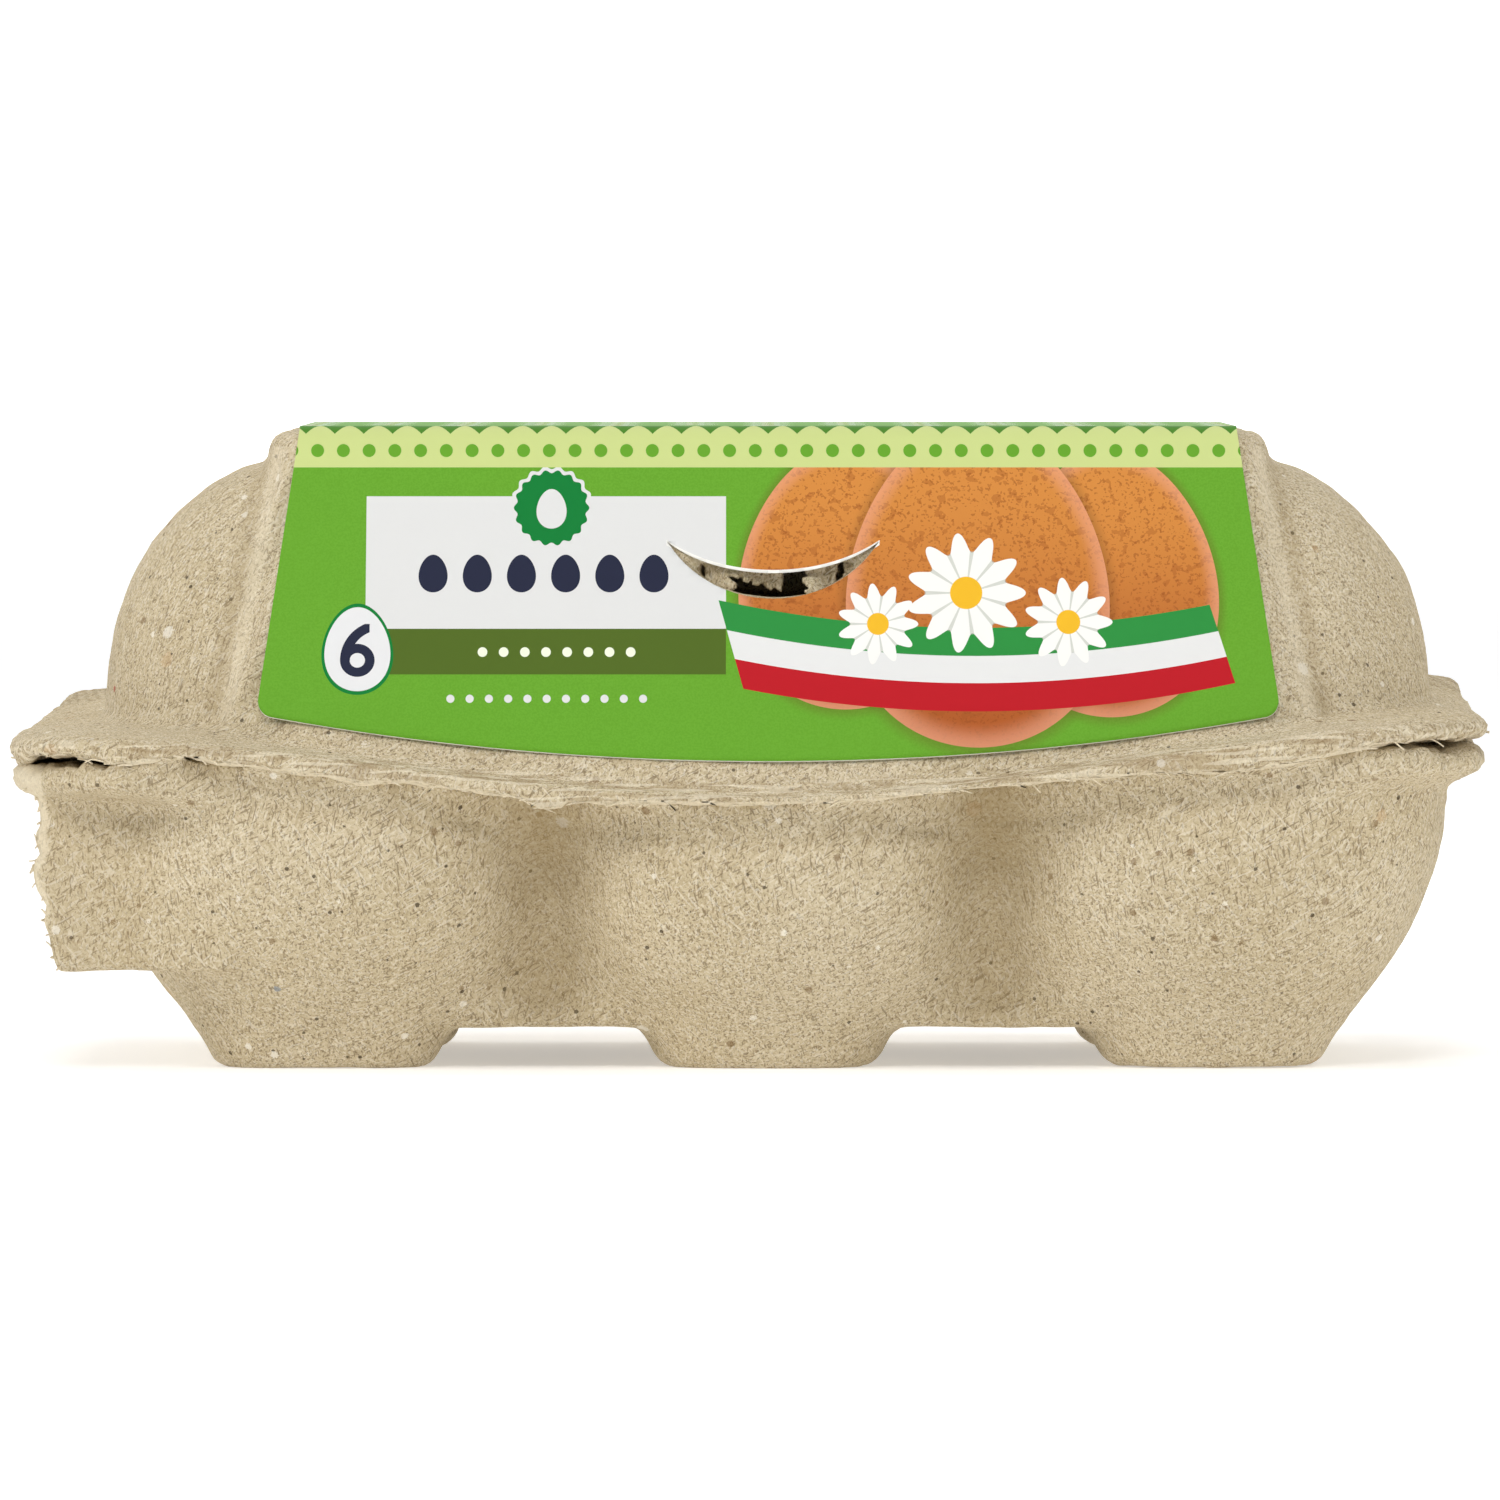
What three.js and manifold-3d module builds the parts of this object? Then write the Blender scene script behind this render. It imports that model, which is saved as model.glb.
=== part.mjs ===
// Moulded pulp carton for six eggs, shut, with a paper label wrapped over its lid.
// Millimetres, +Z up. The front long side faces -Y, the hinge is at the back, and the origin lies on
// the table under the middle of the carton's box.
import * as THREE from "three";
import Module from "manifold-3d";
import { mergeVertices } from "three/addons/utils/BufferGeometryUtils.js";

const wasm = await Module();
wasm.setup();

// Driving dimensions
const RIGHT_REACH = 75.4; // rim, from the middle of the cups to the clean right end
const LEFT_REACH = 79.2; // rim, from the middle of the cups to the torn left end
const HALF_DEPTH = 52;
const HEIGHT = 66.6;
const CUP_PITCH_X = 46.6;
const CUP_PITCH_Y = 47.2;
const RIM_HEIGHT = 33.3; // the parting line between lid and tray, at the ends
const RIM_TILT = 0.012; // it climbs a little from left to right
const FRONT_DIP = 5.2; // and sinks by this much at the middle of the front
const DIP_REACH = 76; // half the length of that dip
const DIP_FADE = [-48, 5]; // it ends between these places from front to back
const BACK_RISE = 2.4; // how far the parting line climbs at the hinge
const RISE_FADE = [0, 44];
const LEFT_TAPER = { in: 2.6, fade: [0, 40] }; // the rim is a little shorter at the back of the left end
const LEFT_CORNER = 15; // the left corner is squarer: the next carton was torn off there
const RIGHT_CORNER = 21;
const BACK_CORNER = 8;
const PULP = 2; // wall of the torn web and of the rims
const GAP = 0.3; // between the paper and the pulp
const FINEST = 0.03; // slivers thinner than this, left by the joins, are merged away

// Lid: a domed box with a raised block over its middle
const DOME_TOP = 63.9;
const DOME_ROUND = 0.9; // levels of the wall crowd together towards the top
const DOME_CORNER = [24, 11]; // corner radius at the wall's foot and at the top
const WALL_FOOT = 3.8; // the lid's wall starts this far above the parting line
const DOME_END = 70.5; // half length of the lid's wall, just above the rim
const DOME_LEAN = 0.13; // how far the end walls lean in for each millimetre up
const DOME_ARC = { across: 21, up: 24 }; // shoulder of the end domes
const SIDE_ARC = { across: 3.5, up: 6 }; // shoulder of the long sides, beside the raised block
// The lid's rim, from its underside outwards and up: how far inside the rim's outline each ring runs,
// and how high above the parting line
const LIP_RINGS = [[9, 0.7], [1, 0.5], [0, 0.9], [0, 2], [0.8, 2.6], [2.6, 3]];
const HINGE = { low: 2, fade: [42, 49] }; // at the back the lip's underside reaches down to the tray
// Along the front, short of the corners, the lip is let down on the tray
const SHUT = { low: 1.4, middleLow: 0.7, left: [67, 72], right: [62, 68], back: [-44, -30] };
const PANEL_SLOPE = 0.485; // how far the front panel leans back for each millimetre up
const PANEL_TOP_Y = 32; // where the front panel would meet the flat top
const PANEL_PROUD = 1.1; // the raised block stands this far out of the domed box
const EDGE_RADIUS = 2;
const BLOCK_FOOT = 57.8; // half length of the raised block at the rim
const BLOCK_TOP = 52.3; // and at the top
const BLOCK_CORNER = 2.5;
const BLOCK_LIFT = 1.6; // the block starts this far above the parting line

// Tray: six cups on feet, joined by a web
const FOOT_HALF = 10.9;
const REAR_FOOT_EXTRA = 1.2; // the feet of the rear row are a little longer
const FOOT_FLARE = 2.9; // how much wider the foot is where it meets the cup
const FOOT_CORNER = 6.5;
const WEB_HEIGHT = 4.3; // the web's lower edge above the table
// A foot, from its sole up: height above the table, and how much wider than FOOT_HALF
const FOOT_RINGS = [
  [0, -0.3],
  [0.4, 0.4],
  [1.2, 1],
  [2.8, 1.7],
  [WEB_HEIGHT, FOOT_FLARE],
  [WEB_HEIGHT + 1.5, FOOT_FLARE + 0.8],
];
const CUP_HALF = 24.6; // the cup's half width under the rim
const CUP_WIDEST = 29.3; // where it has that width
const CUP_LOW_HALF = 13.6; // and at the web's lower edge
const CUP_BULGE = 2.2; // how quickly the cup's side fills out
const CUP_SQUARE = 2.7; // from above, a cup is between a circle, 2, and a square
const VALLEY = { low: 1, high: 6, fade: 8 }; // round of the valleys between the cups, low down and high up
const CORE_HALF = 10; // the web's wall, outside the line through the cups' middles
const CORE_SPREAD = 7.5; // by how much that wall leans out towards the rim
const CORE_CORNER = 9;
// The tray's rim, from its underside, as in LIP_RINGS
const TRAY_RINGS = [[1.6, -3.3], [0.4, -2.7], [0.3, -1.1], [1.2, -0.6], [6, -0.4], [13, 3]];
const TRAY_WALL_TOP = 4.4; // the cups' wall ends this far below the parting line
const TUCK = { ends: [55, 64], back: [-40, -10] }; // along the front the tray's rim hides behind the lip
const POST = { wall: 2.4, halfX: 20, halfY: 30, top: 36, corner: 3 }; // hollow posts, open below
// The torn web at the left end: its lower edge, where it leaves the cup, how far it reaches out, and
// its place from front to back. It bows out near the cup and leans in towards its lower edge.
const TORN_WEB = { low: 10.2, root: 56, reach: 76.4, y: 42.3, bow: 2.2, bowEnd: 72 };
const TORN_LEAN = { share: 0.004, from: 28 };
// Its ragged edge: a bite out of the lower corner and two ripples
const FRAY = { bite: 1.9, biteTop: 20, biteHigh: 9, ripple: [0.35, 2.1], fine: [0.3, 4.7] };

// Lock slot in the front panel, and the label
const SLOT = { half: 11, tip: 55.1, low: 49.3, depth: 2.6, cutter: 12, steps: 12 };
const SLOT_LOWER = { out: 6.05, z: 47.3 }; // handles of the slot's lower curve
const SLOT_UPPER = { out: 5.5, z: 50.8 };
const LABEL = { topHalf: 49, footHalf: 53.2, foot: 32.3, backFoot: 42, bow: 4.8, corner: 1.6, paper: 0.3 };

const CENTRE_X = (LEFT_REACH - RIGHT_REACH) / 2;
const SLOT_X = 0.5; // the slot's middle, from the middle of the cups
const MIX = THREE.MathUtils.lerp;
const SMOOTH = THREE.MathUtils.smoothstep;

// Closed mesh work
function solid(geometry) {
  geometry.deleteAttribute("normal");
  geometry.deleteAttribute("uv");
  const merged = mergeVertices(geometry, 1e-4);
  const mesh = new wasm.Mesh({
    numProp: 3,
    vertProperties: new Float32Array(merged.attributes.position.array),
    triVerts: new Uint32Array(merged.index.array),
  });
  return new wasm.Manifold(mesh);
}

// A closed skin over rings of points, from the lowest ring to the highest, each ring running the same
// way round, anticlockwise from above. A fan closes the first and the last ring, or, where a ring is
// the long thin section of a sheet, a row of faces between its two sides.
function loft(rings, sheet = false) {
  const around = rings[0].length;
  const points = rings.flat();
  const middle = (ring) => [0, 1, 2].map((k) => ring.reduce((sum, p) => sum + p[k], 0) / around);
  points.push(middle(rings[0]), middle(rings.at(-1)));
  const faces = [];
  const close = (start, flip) => {
    for (let j = 0; j + 1 < around / 2; j++) {
      const [a, b, c, d] = [j, j + 1, around - 2 - j, around - 1 - j].map((k) => start + k);
      faces.push(...(flip ? [a, c, b, a, d, c] : [a, b, c, a, c, d]));
    }
  };
  for (let j = 0; j < around; j++) {
    const next = (j + 1) % around;
    for (let i = 0; i + 1 < rings.length; i++) {
      const [a, b, c, d] = [i * around + j, i * around + next, (i + 1) * around + next, (i + 1) * around + j];
      faces.push(a, b, c, a, c, d);
    }
    const last = (rings.length - 1) * around;
    if (!sheet) faces.push(points.length - 2, next, j, points.length - 1, last + j, last + next);
  }
  if (sheet) {
    points.length -= 2;
    close(0, true);
    close((rings.length - 1) * around, false);
  }
  const geometry = new THREE.BufferGeometry();
  geometry.setAttribute("position", new THREE.Float32BufferAttribute(points.flat(), 3));
  geometry.setIndex(faces);
  return solid(geometry);
}

// Distance outside a rounded box round the origin, in the plane
function boxDistance(x, y, halfX, halfY, radius) {
  const qx = Math.abs(x) - halfX + radius;
  const qy = Math.abs(y) - halfY + radius;
  return Math.hypot(Math.max(qx, 0), Math.max(qy, 0)) + Math.min(Math.max(qx, qy), 0) - radius;
}

// The point where a ray from the middle leaves an outline given by its distance function
const RAY_STRETCH = 1.4; // the rays lean towards the two ends, where the outlines turn
const RAY_REACH = 120;
const HALVINGS = 40;

function onOutline(distance, angle) {
  const dx = Math.cos(angle) * RAY_STRETCH;
  const dy = Math.sin(angle);
  let [inside, outside] = [0, RAY_REACH];
  for (let step = 0; step < HALVINGS; step++) {
    const half = (inside + outside) / 2;
    if (distance(dx * half, dy * half) < 0) inside = half;
    else outside = half;
  }
  return [dx * inside, dy * inside];
}

function ring(distance, height, steps) {
  return Array.from({ length: steps }, (_, j) => {
    const [x, y] = onOutline(distance, ((j + 0.5) / steps) * 2 * Math.PI);
    return [x, y, height(x, y)];
  });
}

// 1 at the middle of the front, where the parting line dips, and 0 at the ends and the back
function frontMiddle(x, y) {
  const middle = Math.abs(x) < DIP_REACH ? Math.cos((Math.PI * x) / (2 * DIP_REACH)) ** 2 : 0;
  return middle * (1 - SMOOTH(y, ...DIP_FADE));
}

// The parting line: it sinks in the middle of the front and climbs to the hinge
function rimZ(x, y) {
  return RIM_HEIGHT + RIM_TILT * x - FRONT_DIP * frontMiddle(x, y) + BACK_RISE * SMOOTH(y, ...RISE_FADE);
}

// The rim's outline
function rimDistance(x, y, inset) {
  const leftReach = LEFT_REACH - LEFT_TAPER.in * SMOOTH(y, ...LEFT_TAPER.fade);
  const [reach, frontCorner] = x < 0 ? [leftReach, LEFT_CORNER] : [RIGHT_REACH, RIGHT_CORNER];
  const corner = y < 0 ? frontCorner : BACK_CORNER;
  return boxDistance(x, y, reach - inset, HALF_DEPTH - inset, corner);
}

function panelY(z) {
  return PANEL_TOP_Y + (HEIGHT - z) * PANEL_SLOPE;
}

// The section of the raised block from a point on the front panel over the edge to the flat top
const LEAN = Math.atan(PANEL_SLOPE);
const TANGENT = EDGE_RADIUS * Math.tan(Math.PI / 4 - LEAN / 2);

function edgeArc(offset, steps) {
  const radius = EDGE_RADIUS + offset;
  return Array.from({ length: steps + 1 }, (_, k) => {
    const rise = MIX(LEAN, Math.PI / 2, k / steps);
    return [
      PANEL_TOP_Y - TANGENT + radius * Math.cos(rise),
      HEIGHT - EDGE_RADIUS + radius * Math.sin(rise),
    ];
  });
}

// 1 where the lid's lip rests on the tray, along the front, and 0 at the corners and the back
function shut(x, y) {
  const ends = x < 0 ? SMOOTH(-x, ...SHUT.left) : SMOOTH(x, ...SHUT.right);
  return (1 - ends) * (1 - SMOOTH(y, ...SHUT.back));
}

// Height of a ring of the lid's rim. Only the rings of its underside come down to meet the tray.
function lipHeight(up) {
  const under = up < 1;
  return (x, y) => {
    const middle = frontMiddle(x, y);
    const hinged = under ? up - HINGE.low * SMOOTH(y, ...HINGE.fade) : up;
    const low = under ? MIX(SHUT.low, SHUT.middleLow, middle) * shut(x, y) : 0;
    return rimZ(x, y) + MIX(hinged, up / 2 - 0.45, middle) - low;
  };
}

// How far a shoulder has bent inwards at height z, as a share of its reach across
function bend(z, { up }) {
  return 1 - Math.sqrt(1 - Math.max(0, (z - DOME_TOP + up) / up) ** 2);
}

function domedBox() {
  const steps = 96;
  const levels = 9;
  const foot = RIM_HEIGHT + WALL_FOOT;
  const lip = ([inset, up]) => ring((x, y) => rimDistance(x, y, inset), lipHeight(up), steps);
  const rings = LIP_RINGS.map(lip);
  for (let k = 0; k <= levels; k++) {
    const rise = k / levels;
    const z = MIX(foot, DOME_TOP, Math.sin((rise * Math.PI) / 2) ** DOME_ROUND);
    const upright = Math.min(z, DOME_TOP - DOME_ARC.up) - RIM_HEIGHT;
    const end = DOME_END - DOME_LEAN * upright - DOME_ARC.across * bend(z, DOME_ARC);
    const side = panelY(z) - PANEL_PROUD - SIDE_ARC.across * bend(z, SIDE_ARC);
    const corner = MIX(...DOME_CORNER, rise);
    const share = (z - foot) / (DOME_TOP - foot);
    const height = (x, y) => MIX(rimZ(x, y) + WALL_FOOT, DOME_TOP, share);
    rings.push(ring((x, y) => boxDistance(x, y, end, side, corner), height, steps));
  }
  return loft(rings);
}

function raisedBlock() {
  const steps = 72;
  const top = HEIGHT - EDGE_RADIUS;
  const rings = [0, 0.5, 1].map((rise) => {
    const nominal = panelY(MIX(RIM_HEIGHT, top, rise));
    const end = MIX(BLOCK_FOOT, BLOCK_TOP, rise);
    const outline = (x, y) => boxDistance(x, y, end, nominal, BLOCK_CORNER);
    const height = (x, y) => MIX(rimZ(x, y) + BLOCK_LIFT, top, rise);
    return ring(outline, height, steps).map(([x, y, z]) => [x, (y * panelY(z)) / nominal, z]);
  });
  for (const [y, z] of edgeArc(0, 3)) {
    if (z <= top) continue;
    const inset = EDGE_RADIUS - Math.sqrt(EDGE_RADIUS ** 2 - (z - top) ** 2);
    const outline = (x, w) => boxDistance(x, w, BLOCK_TOP - inset, y, BLOCK_CORNER);
    rings.push(ring(outline, () => z, steps));
  }
  return loft(rings);
}

// Tray
const CUP_MIDDLES = [-1, 0, 1].flatMap((i) => [-0.5, 0.5].map((j) => [i * CUP_PITCH_X, j * CUP_PITCH_Y]));

function cupHalf(z) {
  const rise = (z - WEB_HEIGHT) / (CUP_WIDEST - WEB_HEIGHT);
  return MIX(CUP_LOW_HALF, CUP_HALF, 1 - Math.max(0, 1 - rise) ** CUP_BULGE);
}

function cupDistance(x, y, half) {
  const reach = (Math.abs(x / half) ** CUP_SQUARE + Math.abs(y / half) ** CUP_SQUARE) ** (1 / CUP_SQUARE);
  return (reach - 1) * half;
}

function blend(a, b, width) {
  const h = Math.max(width - Math.abs(a - b), 0) / width;
  return Math.min(a, b) - (h * h * width) / 4;
}

function trayDistance(x, y, z) {
  const spread = CORE_SPREAD * ((z - WEB_HEIGHT) / RIM_HEIGHT);
  const core = CORE_HALF + spread;
  const web = boxDistance(x, y, CUP_PITCH_X + core, CUP_PITCH_Y / 2 + core, CORE_CORNER);
  const round = MIX(VALLEY.low, VALLEY.high, SMOOTH(z, WEB_HEIGHT, WEB_HEIGHT + VALLEY.fade));
  const half = cupHalf(z);
  return CUP_MIDDLES.reduce((d, [cx, cy]) => blend(d, cupDistance(x - cx, y - cy, half), round), web);
}

// 1 along the front, where the tray's wall runs up behind the lid's lip, and 0 where its rim shows
function tucked(x, y) {
  return (1 - SMOOTH(Math.abs(x), ...TUCK.ends)) * (1 - SMOOTH(y, ...TUCK.back));
}

function cupsAndWeb() {
  const steps = 118;
  const levels = 8;
  const wallTop = RIM_HEIGHT - 5;
  const rings = [];
  for (let k = 0; k <= levels; k++) {
    const rise = (k / levels) ** 1.3;
    const z = MIX(WEB_HEIGHT, wallTop, rise);
    const height = (x, y) => MIX(WEB_HEIGHT, rimZ(x, y) - TRAY_WALL_TOP, rise);
    rings.push(ring((x, y) => trayDistance(x, y, z), height, steps));
  }
  for (const [inset, up] of TRAY_RINGS) {
    const wall = (x, y) => trayDistance(x, y, RIM_HEIGHT) + inset - 0.4;
    const rim = (x, y) => MIX(rimDistance(x, y, inset), wall(x, y), tucked(x, y));
    rings.push(ring(rim, (x, y) => rimZ(x, y) + up, steps));
  }
  return loft(rings);
}

function foot(cx, cy) {
  const extra = cy > 0 ? REAR_FOOT_EXTRA : 0;
  const rings = FOOT_RINGS.map(([z, grow]) => {
    const half = FOOT_HALF + grow;
    const outline = (x, y) => boxDistance(x, y, half + extra, half, FOOT_CORNER + grow);
    return ring(outline, () => z, 28).map(([x, y, h]) => [x + cx, y + cy, h]);
  });
  return loft(rings);
}

// The space between four cups, which runs up into a hollow post and is open at the underside
function postHollow(cx) {
  const levels = 6;
  const rings = Array.from({ length: levels + 1 }, (_, k) => {
    const z = MIX(WEB_HEIGHT - 1, POST.top, (k / levels) ** 1.5);
    const half = cupHalf(Math.max(z, WEB_HEIGHT)) + POST.wall;
    const cups = (x, y) => Math.min(...CUP_MIDDLES.map(([mx, my]) => cupDistance(x + cx - mx, y - my, half)));
    const space = (x, y) => Math.max(-cups(x, y), boxDistance(x, y, POST.halfX, POST.halfY, POST.corner));
    return ring(space, () => z, 40).map(([x, y, h]) => [x + cx, y, h]);
  });
  return loft(rings);
}

// What is left of the wall that ran on into the next carton: a thin upright web with a ragged edge
function tornWeb(side) {
  const stripes = 14;
  const columns = 5;
  const rows = Array.from({ length: stripes + 1 }, (_, i) => {
    const z = MIX(TORN_WEB.low, RIM_HEIGHT - 1.8, i / stripes);
    const bite = FRAY.bite * SMOOTH(FRAY.biteTop - z, 0, FRAY.biteHigh) ** 1.5;
    const ripple = FRAY.ripple[0] * Math.sin(z * FRAY.ripple[1]);
    const edge = TORN_WEB.reach - bite - ripple - FRAY.fine[0] * Math.sin(z * FRAY.fine[1] + side);
    const lean = TORN_LEAN.share * (TORN_LEAN.from - z) ** 2;
    const line = Array.from({ length: columns + 1 }, (_, k) => {
      const x = MIX(TORN_WEB.root, edge, k / columns);
      return [-x, TORN_WEB.y + TORN_WEB.bow * (1 - SMOOTH(x, TORN_WEB.root, TORN_WEB.bowEnd)) - lean, z];
    });
    const back = line.map(([x, y, h]) => [x, y - PULP, h]).reverse();
    return [...line, ...back].map(([x, y, h]) => [x, side * y, h]);
  });
  return loft(side > 0 ? rows : rows.map((row) => row.slice().reverse()), true);
}

// The smile-shaped slot: a lower and an upper curve that meet at the two tips
function slotPrism(depth) {
  const { half, tip } = SLOT;
  const outline = new THREE.Shape();
  outline.moveTo(-half, tip);
  outline.bezierCurveTo(-SLOT_LOWER.out, SLOT_LOWER.z, SLOT_LOWER.out, SLOT_LOWER.z, half, tip);
  outline.bezierCurveTo(SLOT_UPPER.out, SLOT_UPPER.z, -SLOT_UPPER.out, SLOT_UPPER.z, -half, tip);
  const prism = new THREE.ExtrudeGeometry(outline, { depth, bevelEnabled: false, curveSegments: SLOT.steps });
  prism.rotateX(Math.PI / 2);
  prism.translate(SLOT_X, 0, 0);
  return solid(prism);
}

function cutSlot(body, depth) {
  const inwards = panelY((SLOT.tip + SLOT.low) / 2) - depth;
  return body.subtract(slotPrism(SLOT.cutter).translate([0, -inwards, 0]));
}

function carton() {
  let body = domedBox().add(raisedBlock()).add(cupsAndWeb());
  for (const [cx, cy] of CUP_MIDDLES) body = body.add(foot(cx, cy));
  for (const side of [-1, 1]) {
    body = body.add(tornWeb(side));
    body = body.subtract(postHollow((side * CUP_PITCH_X) / 2));
  }
  return cutSlot(body, SLOT.depth).simplify(FINEST);
}

// Label
function roundedFoot(x, half, height) {
  const corner = Math.max(0, Math.abs(x) - half + LABEL.corner);
  return height + LABEL.corner - Math.sqrt(Math.max(0, LABEL.corner ** 2 - corner ** 2));
}

// One strip of the paper across the carton, from the front's lower edge over the top to the back's
function labelStrip(share, offset) {
  const low = LABEL.foot + LABEL.bow;
  const half = (z) => MIX(LABEL.footHalf, LABEL.topHalf, (Math.min(z, HEIGHT) - low) / (HEIGHT - low));
  const onPanel = (z) => [panelY(z) + offset * Math.cos(LEAN), z + offset * Math.sin(LEAN)];
  const front = onPanel(roundedFoot(share * half(low), half(low), LABEL.foot + LABEL.bow * share ** 2));
  const back = onPanel(roundedFoot(share * half(LABEL.backFoot), half(LABEL.backFoot), LABEL.backFoot));
  const edge = edgeArc(offset, 4);
  const path = [front, ...edge].map(([y, z]) => [-y, z]);
  return [...path, ...edge.reverse(), back].map(([y, z]) => [share * half(z), y, z]);
}

function label() {
  const columns = 30;
  const rings = Array.from({ length: columns + 1 }, (_, k) => {
    const share = Math.sin((MIX(-1, 1, k / columns) * Math.PI) / 2);
    const outer = labelStrip(share, GAP + LABEL.paper);
    const inner = labelStrip(share, GAP);
    return [...inner, ...outer.reverse()];
  });
  return cutSlot(loft(rings, true), SLOT.depth);
}

// Scene graph
function part(name, body, material) {
  const mesh = body.getMesh();
  const geometry = new THREE.BufferGeometry();
  const points = new Float32Array(mesh.numVert * 3);
  for (let i = 0; i < mesh.numVert; i++)
    for (let k = 0; k < 3; k++) points[3 * i + k] = mesh.vertProperties[i * mesh.numProp + k];
  geometry.setAttribute("position", new THREE.BufferAttribute(points, 3));
  geometry.setIndex(new THREE.BufferAttribute(new Uint32Array(mesh.triVerts), 1));
  geometry.computeVertexNormals();
  const object = new THREE.Mesh(geometry, material);
  object.name = name;
  return object;
}

const pulp = new THREE.MeshStandardMaterial({ color: 0xc4b596, roughness: 0.95, metalness: 0 });
const printedPaper = new THREE.MeshStandardMaterial({ color: 0x6ca933, roughness: 0.6, metalness: 0 });

const eggCarton = new THREE.Group();
eggCarton.add(part("carton", carton(), pulp), part("label", label(), printedPaper));
eggCarton.position.x = CENTRE_X;

export default eggCarton;
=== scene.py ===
# %% [markdown]
# # A shut egg carton with a paper label
#
# Six eggs travel in this carton. It is moulded from one sheet of grey-brown paper pulp: a tray of six
# cups on little feet, and a domed lid that hangs on the tray's rear edge. A printed paper label is
# wrapped over the lid from the front to the back.
#
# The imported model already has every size. Here it gets its looks, in this order: the view and the
# light, the pulp, the label, the lock in the front, and then the finishes.

import math

import bpy
import numpy as np
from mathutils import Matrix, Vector


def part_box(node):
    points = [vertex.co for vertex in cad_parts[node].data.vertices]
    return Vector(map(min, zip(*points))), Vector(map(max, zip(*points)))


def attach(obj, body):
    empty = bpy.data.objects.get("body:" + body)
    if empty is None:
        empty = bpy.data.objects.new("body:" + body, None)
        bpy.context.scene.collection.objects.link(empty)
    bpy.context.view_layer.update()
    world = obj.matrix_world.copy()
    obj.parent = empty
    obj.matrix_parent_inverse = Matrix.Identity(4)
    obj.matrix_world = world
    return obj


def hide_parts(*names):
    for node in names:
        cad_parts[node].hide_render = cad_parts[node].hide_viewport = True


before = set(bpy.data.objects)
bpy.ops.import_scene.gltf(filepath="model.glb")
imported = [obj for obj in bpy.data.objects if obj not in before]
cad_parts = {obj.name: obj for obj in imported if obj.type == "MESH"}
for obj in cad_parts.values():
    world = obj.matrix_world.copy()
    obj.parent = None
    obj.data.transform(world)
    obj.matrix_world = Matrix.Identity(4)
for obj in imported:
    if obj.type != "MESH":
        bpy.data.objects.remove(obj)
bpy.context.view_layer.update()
carton_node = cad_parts["carton"]
print("nodes:", sorted(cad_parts))

# %% [markdown]
# ## View and light
#
# The carton was photographed from the front, a little above the height of its lid, through a long
# lens, so that its front and its back are drawn at nearly one scale. A camera 1.8 metres away with a
# lens of 406 millimetres gives the same view.

# %% Camera
MM = 0.001
CAMERA_PLACE = Vector((0, -1800, 80)) * MM
CAMERA_AIM = Vector((0, 0, 32.4)) * MM
LENS = 405.7
SENSOR = 36

bpy.ops.object.camera_add(location=CAMERA_PLACE)
camera = bpy.context.object
camera.rotation_euler = (CAMERA_AIM - CAMERA_PLACE).to_track_quat("-Z", "Y").to_euler()
camera.data.lens = LENS
camera.data.sensor_width = SENSOR
camera.data.clip_start = 0.05
camera.data.clip_end = 100
bpy.context.scene.camera = camera
looks_down = math.pi / 2 - camera.rotation_euler[0]
print("camera looks down by", round(math.degrees(looks_down), 2), "degrees")

# %% [markdown]
# The light is that of a photo studio: large soft lamps and a dim sky all round. The strongest lamp
# stands on the left, weaker ones before the carton and on the right, and the weakest above it. Each
# cup keeps the lamp of the far side off the valley beside it, so the valleys are darker than the
# cups, and each cup is brightest on its left side.

# %% Lamps and sky
SKY_GLOW = 0.12
LAMPS = [  # name, place in metres, size in metres and power in watts
    ("left", (-1.6, -0.9, 1.1), 0.8, 18),
    ("right", (1.7, -0.5, 0.8), 0.8, 10),
    ("front", (-0.1, -1.7, 1.3), 0.6, 14),
    ("top", (0, 0.1, 1.7), 0.9, 8),
]


def add_lamp(name, place, size, power):
    bpy.ops.object.light_add(type="AREA", location=place)
    lamp = bpy.context.object
    lamp.name = f"lamp_{name}"
    lamp.rotation_euler = (CAMERA_AIM - Vector(place)).to_track_quat("-Z", "Y").to_euler()
    lamp.data.size = size
    lamp.data.energy = power
    return lamp


for lamp_values in LAMPS:
    print("lamp:", add_lamp(*lamp_values).name)

world = bpy.data.worlds.new("sky")
bpy.context.scene.world = world
world.use_nodes = True
sky = world.node_tree.nodes["Background"]
sky.inputs["Color"].default_value = (1, 1, 1, 1)
sky.inputs["Strength"].default_value = SKY_GLOW
bpy.context.scene.view_settings.view_transform = "Standard"

# %% [markdown]
# ## Ways to model
#
# Every piece below is made from a few kinds of steps, so these come first. Blender's operators act
# on whatever is selected, so `only` selects one piece and nothing else. A modifier is given its
# settings and applied at once. Sculpting by hand could shape the pulp too, but here the vertices of a
# piece are read and written as one table in millimetres, because then every bend has a number.

# %% Helpers for meshes
def only(piece):
    bpy.ops.object.select_all(action="DESELECT")
    piece.select_set(True)
    bpy.context.view_layer.objects.active = piece


def apply_modifier(piece, kind, **settings):
    only(piece)
    modifier = piece.modifiers.new(kind.lower(), kind)
    for name, value in settings.items():
        setattr(modifier, name, value)
    bpy.ops.object.modifier_apply(modifier=modifier.name)
    print(f"{piece.name}: {kind.lower()} leaves {len(piece.data.polygons)} faces")


def points_of(piece):
    flat = np.empty(len(piece.data.vertices) * 3)
    piece.data.vertices.foreach_get("co", flat)
    return flat.reshape(-1, 3) / MM


def place_points(piece, points):
    piece.data.vertices.foreach_set("co", (points * MM).ravel())
    piece.data.update()


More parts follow.
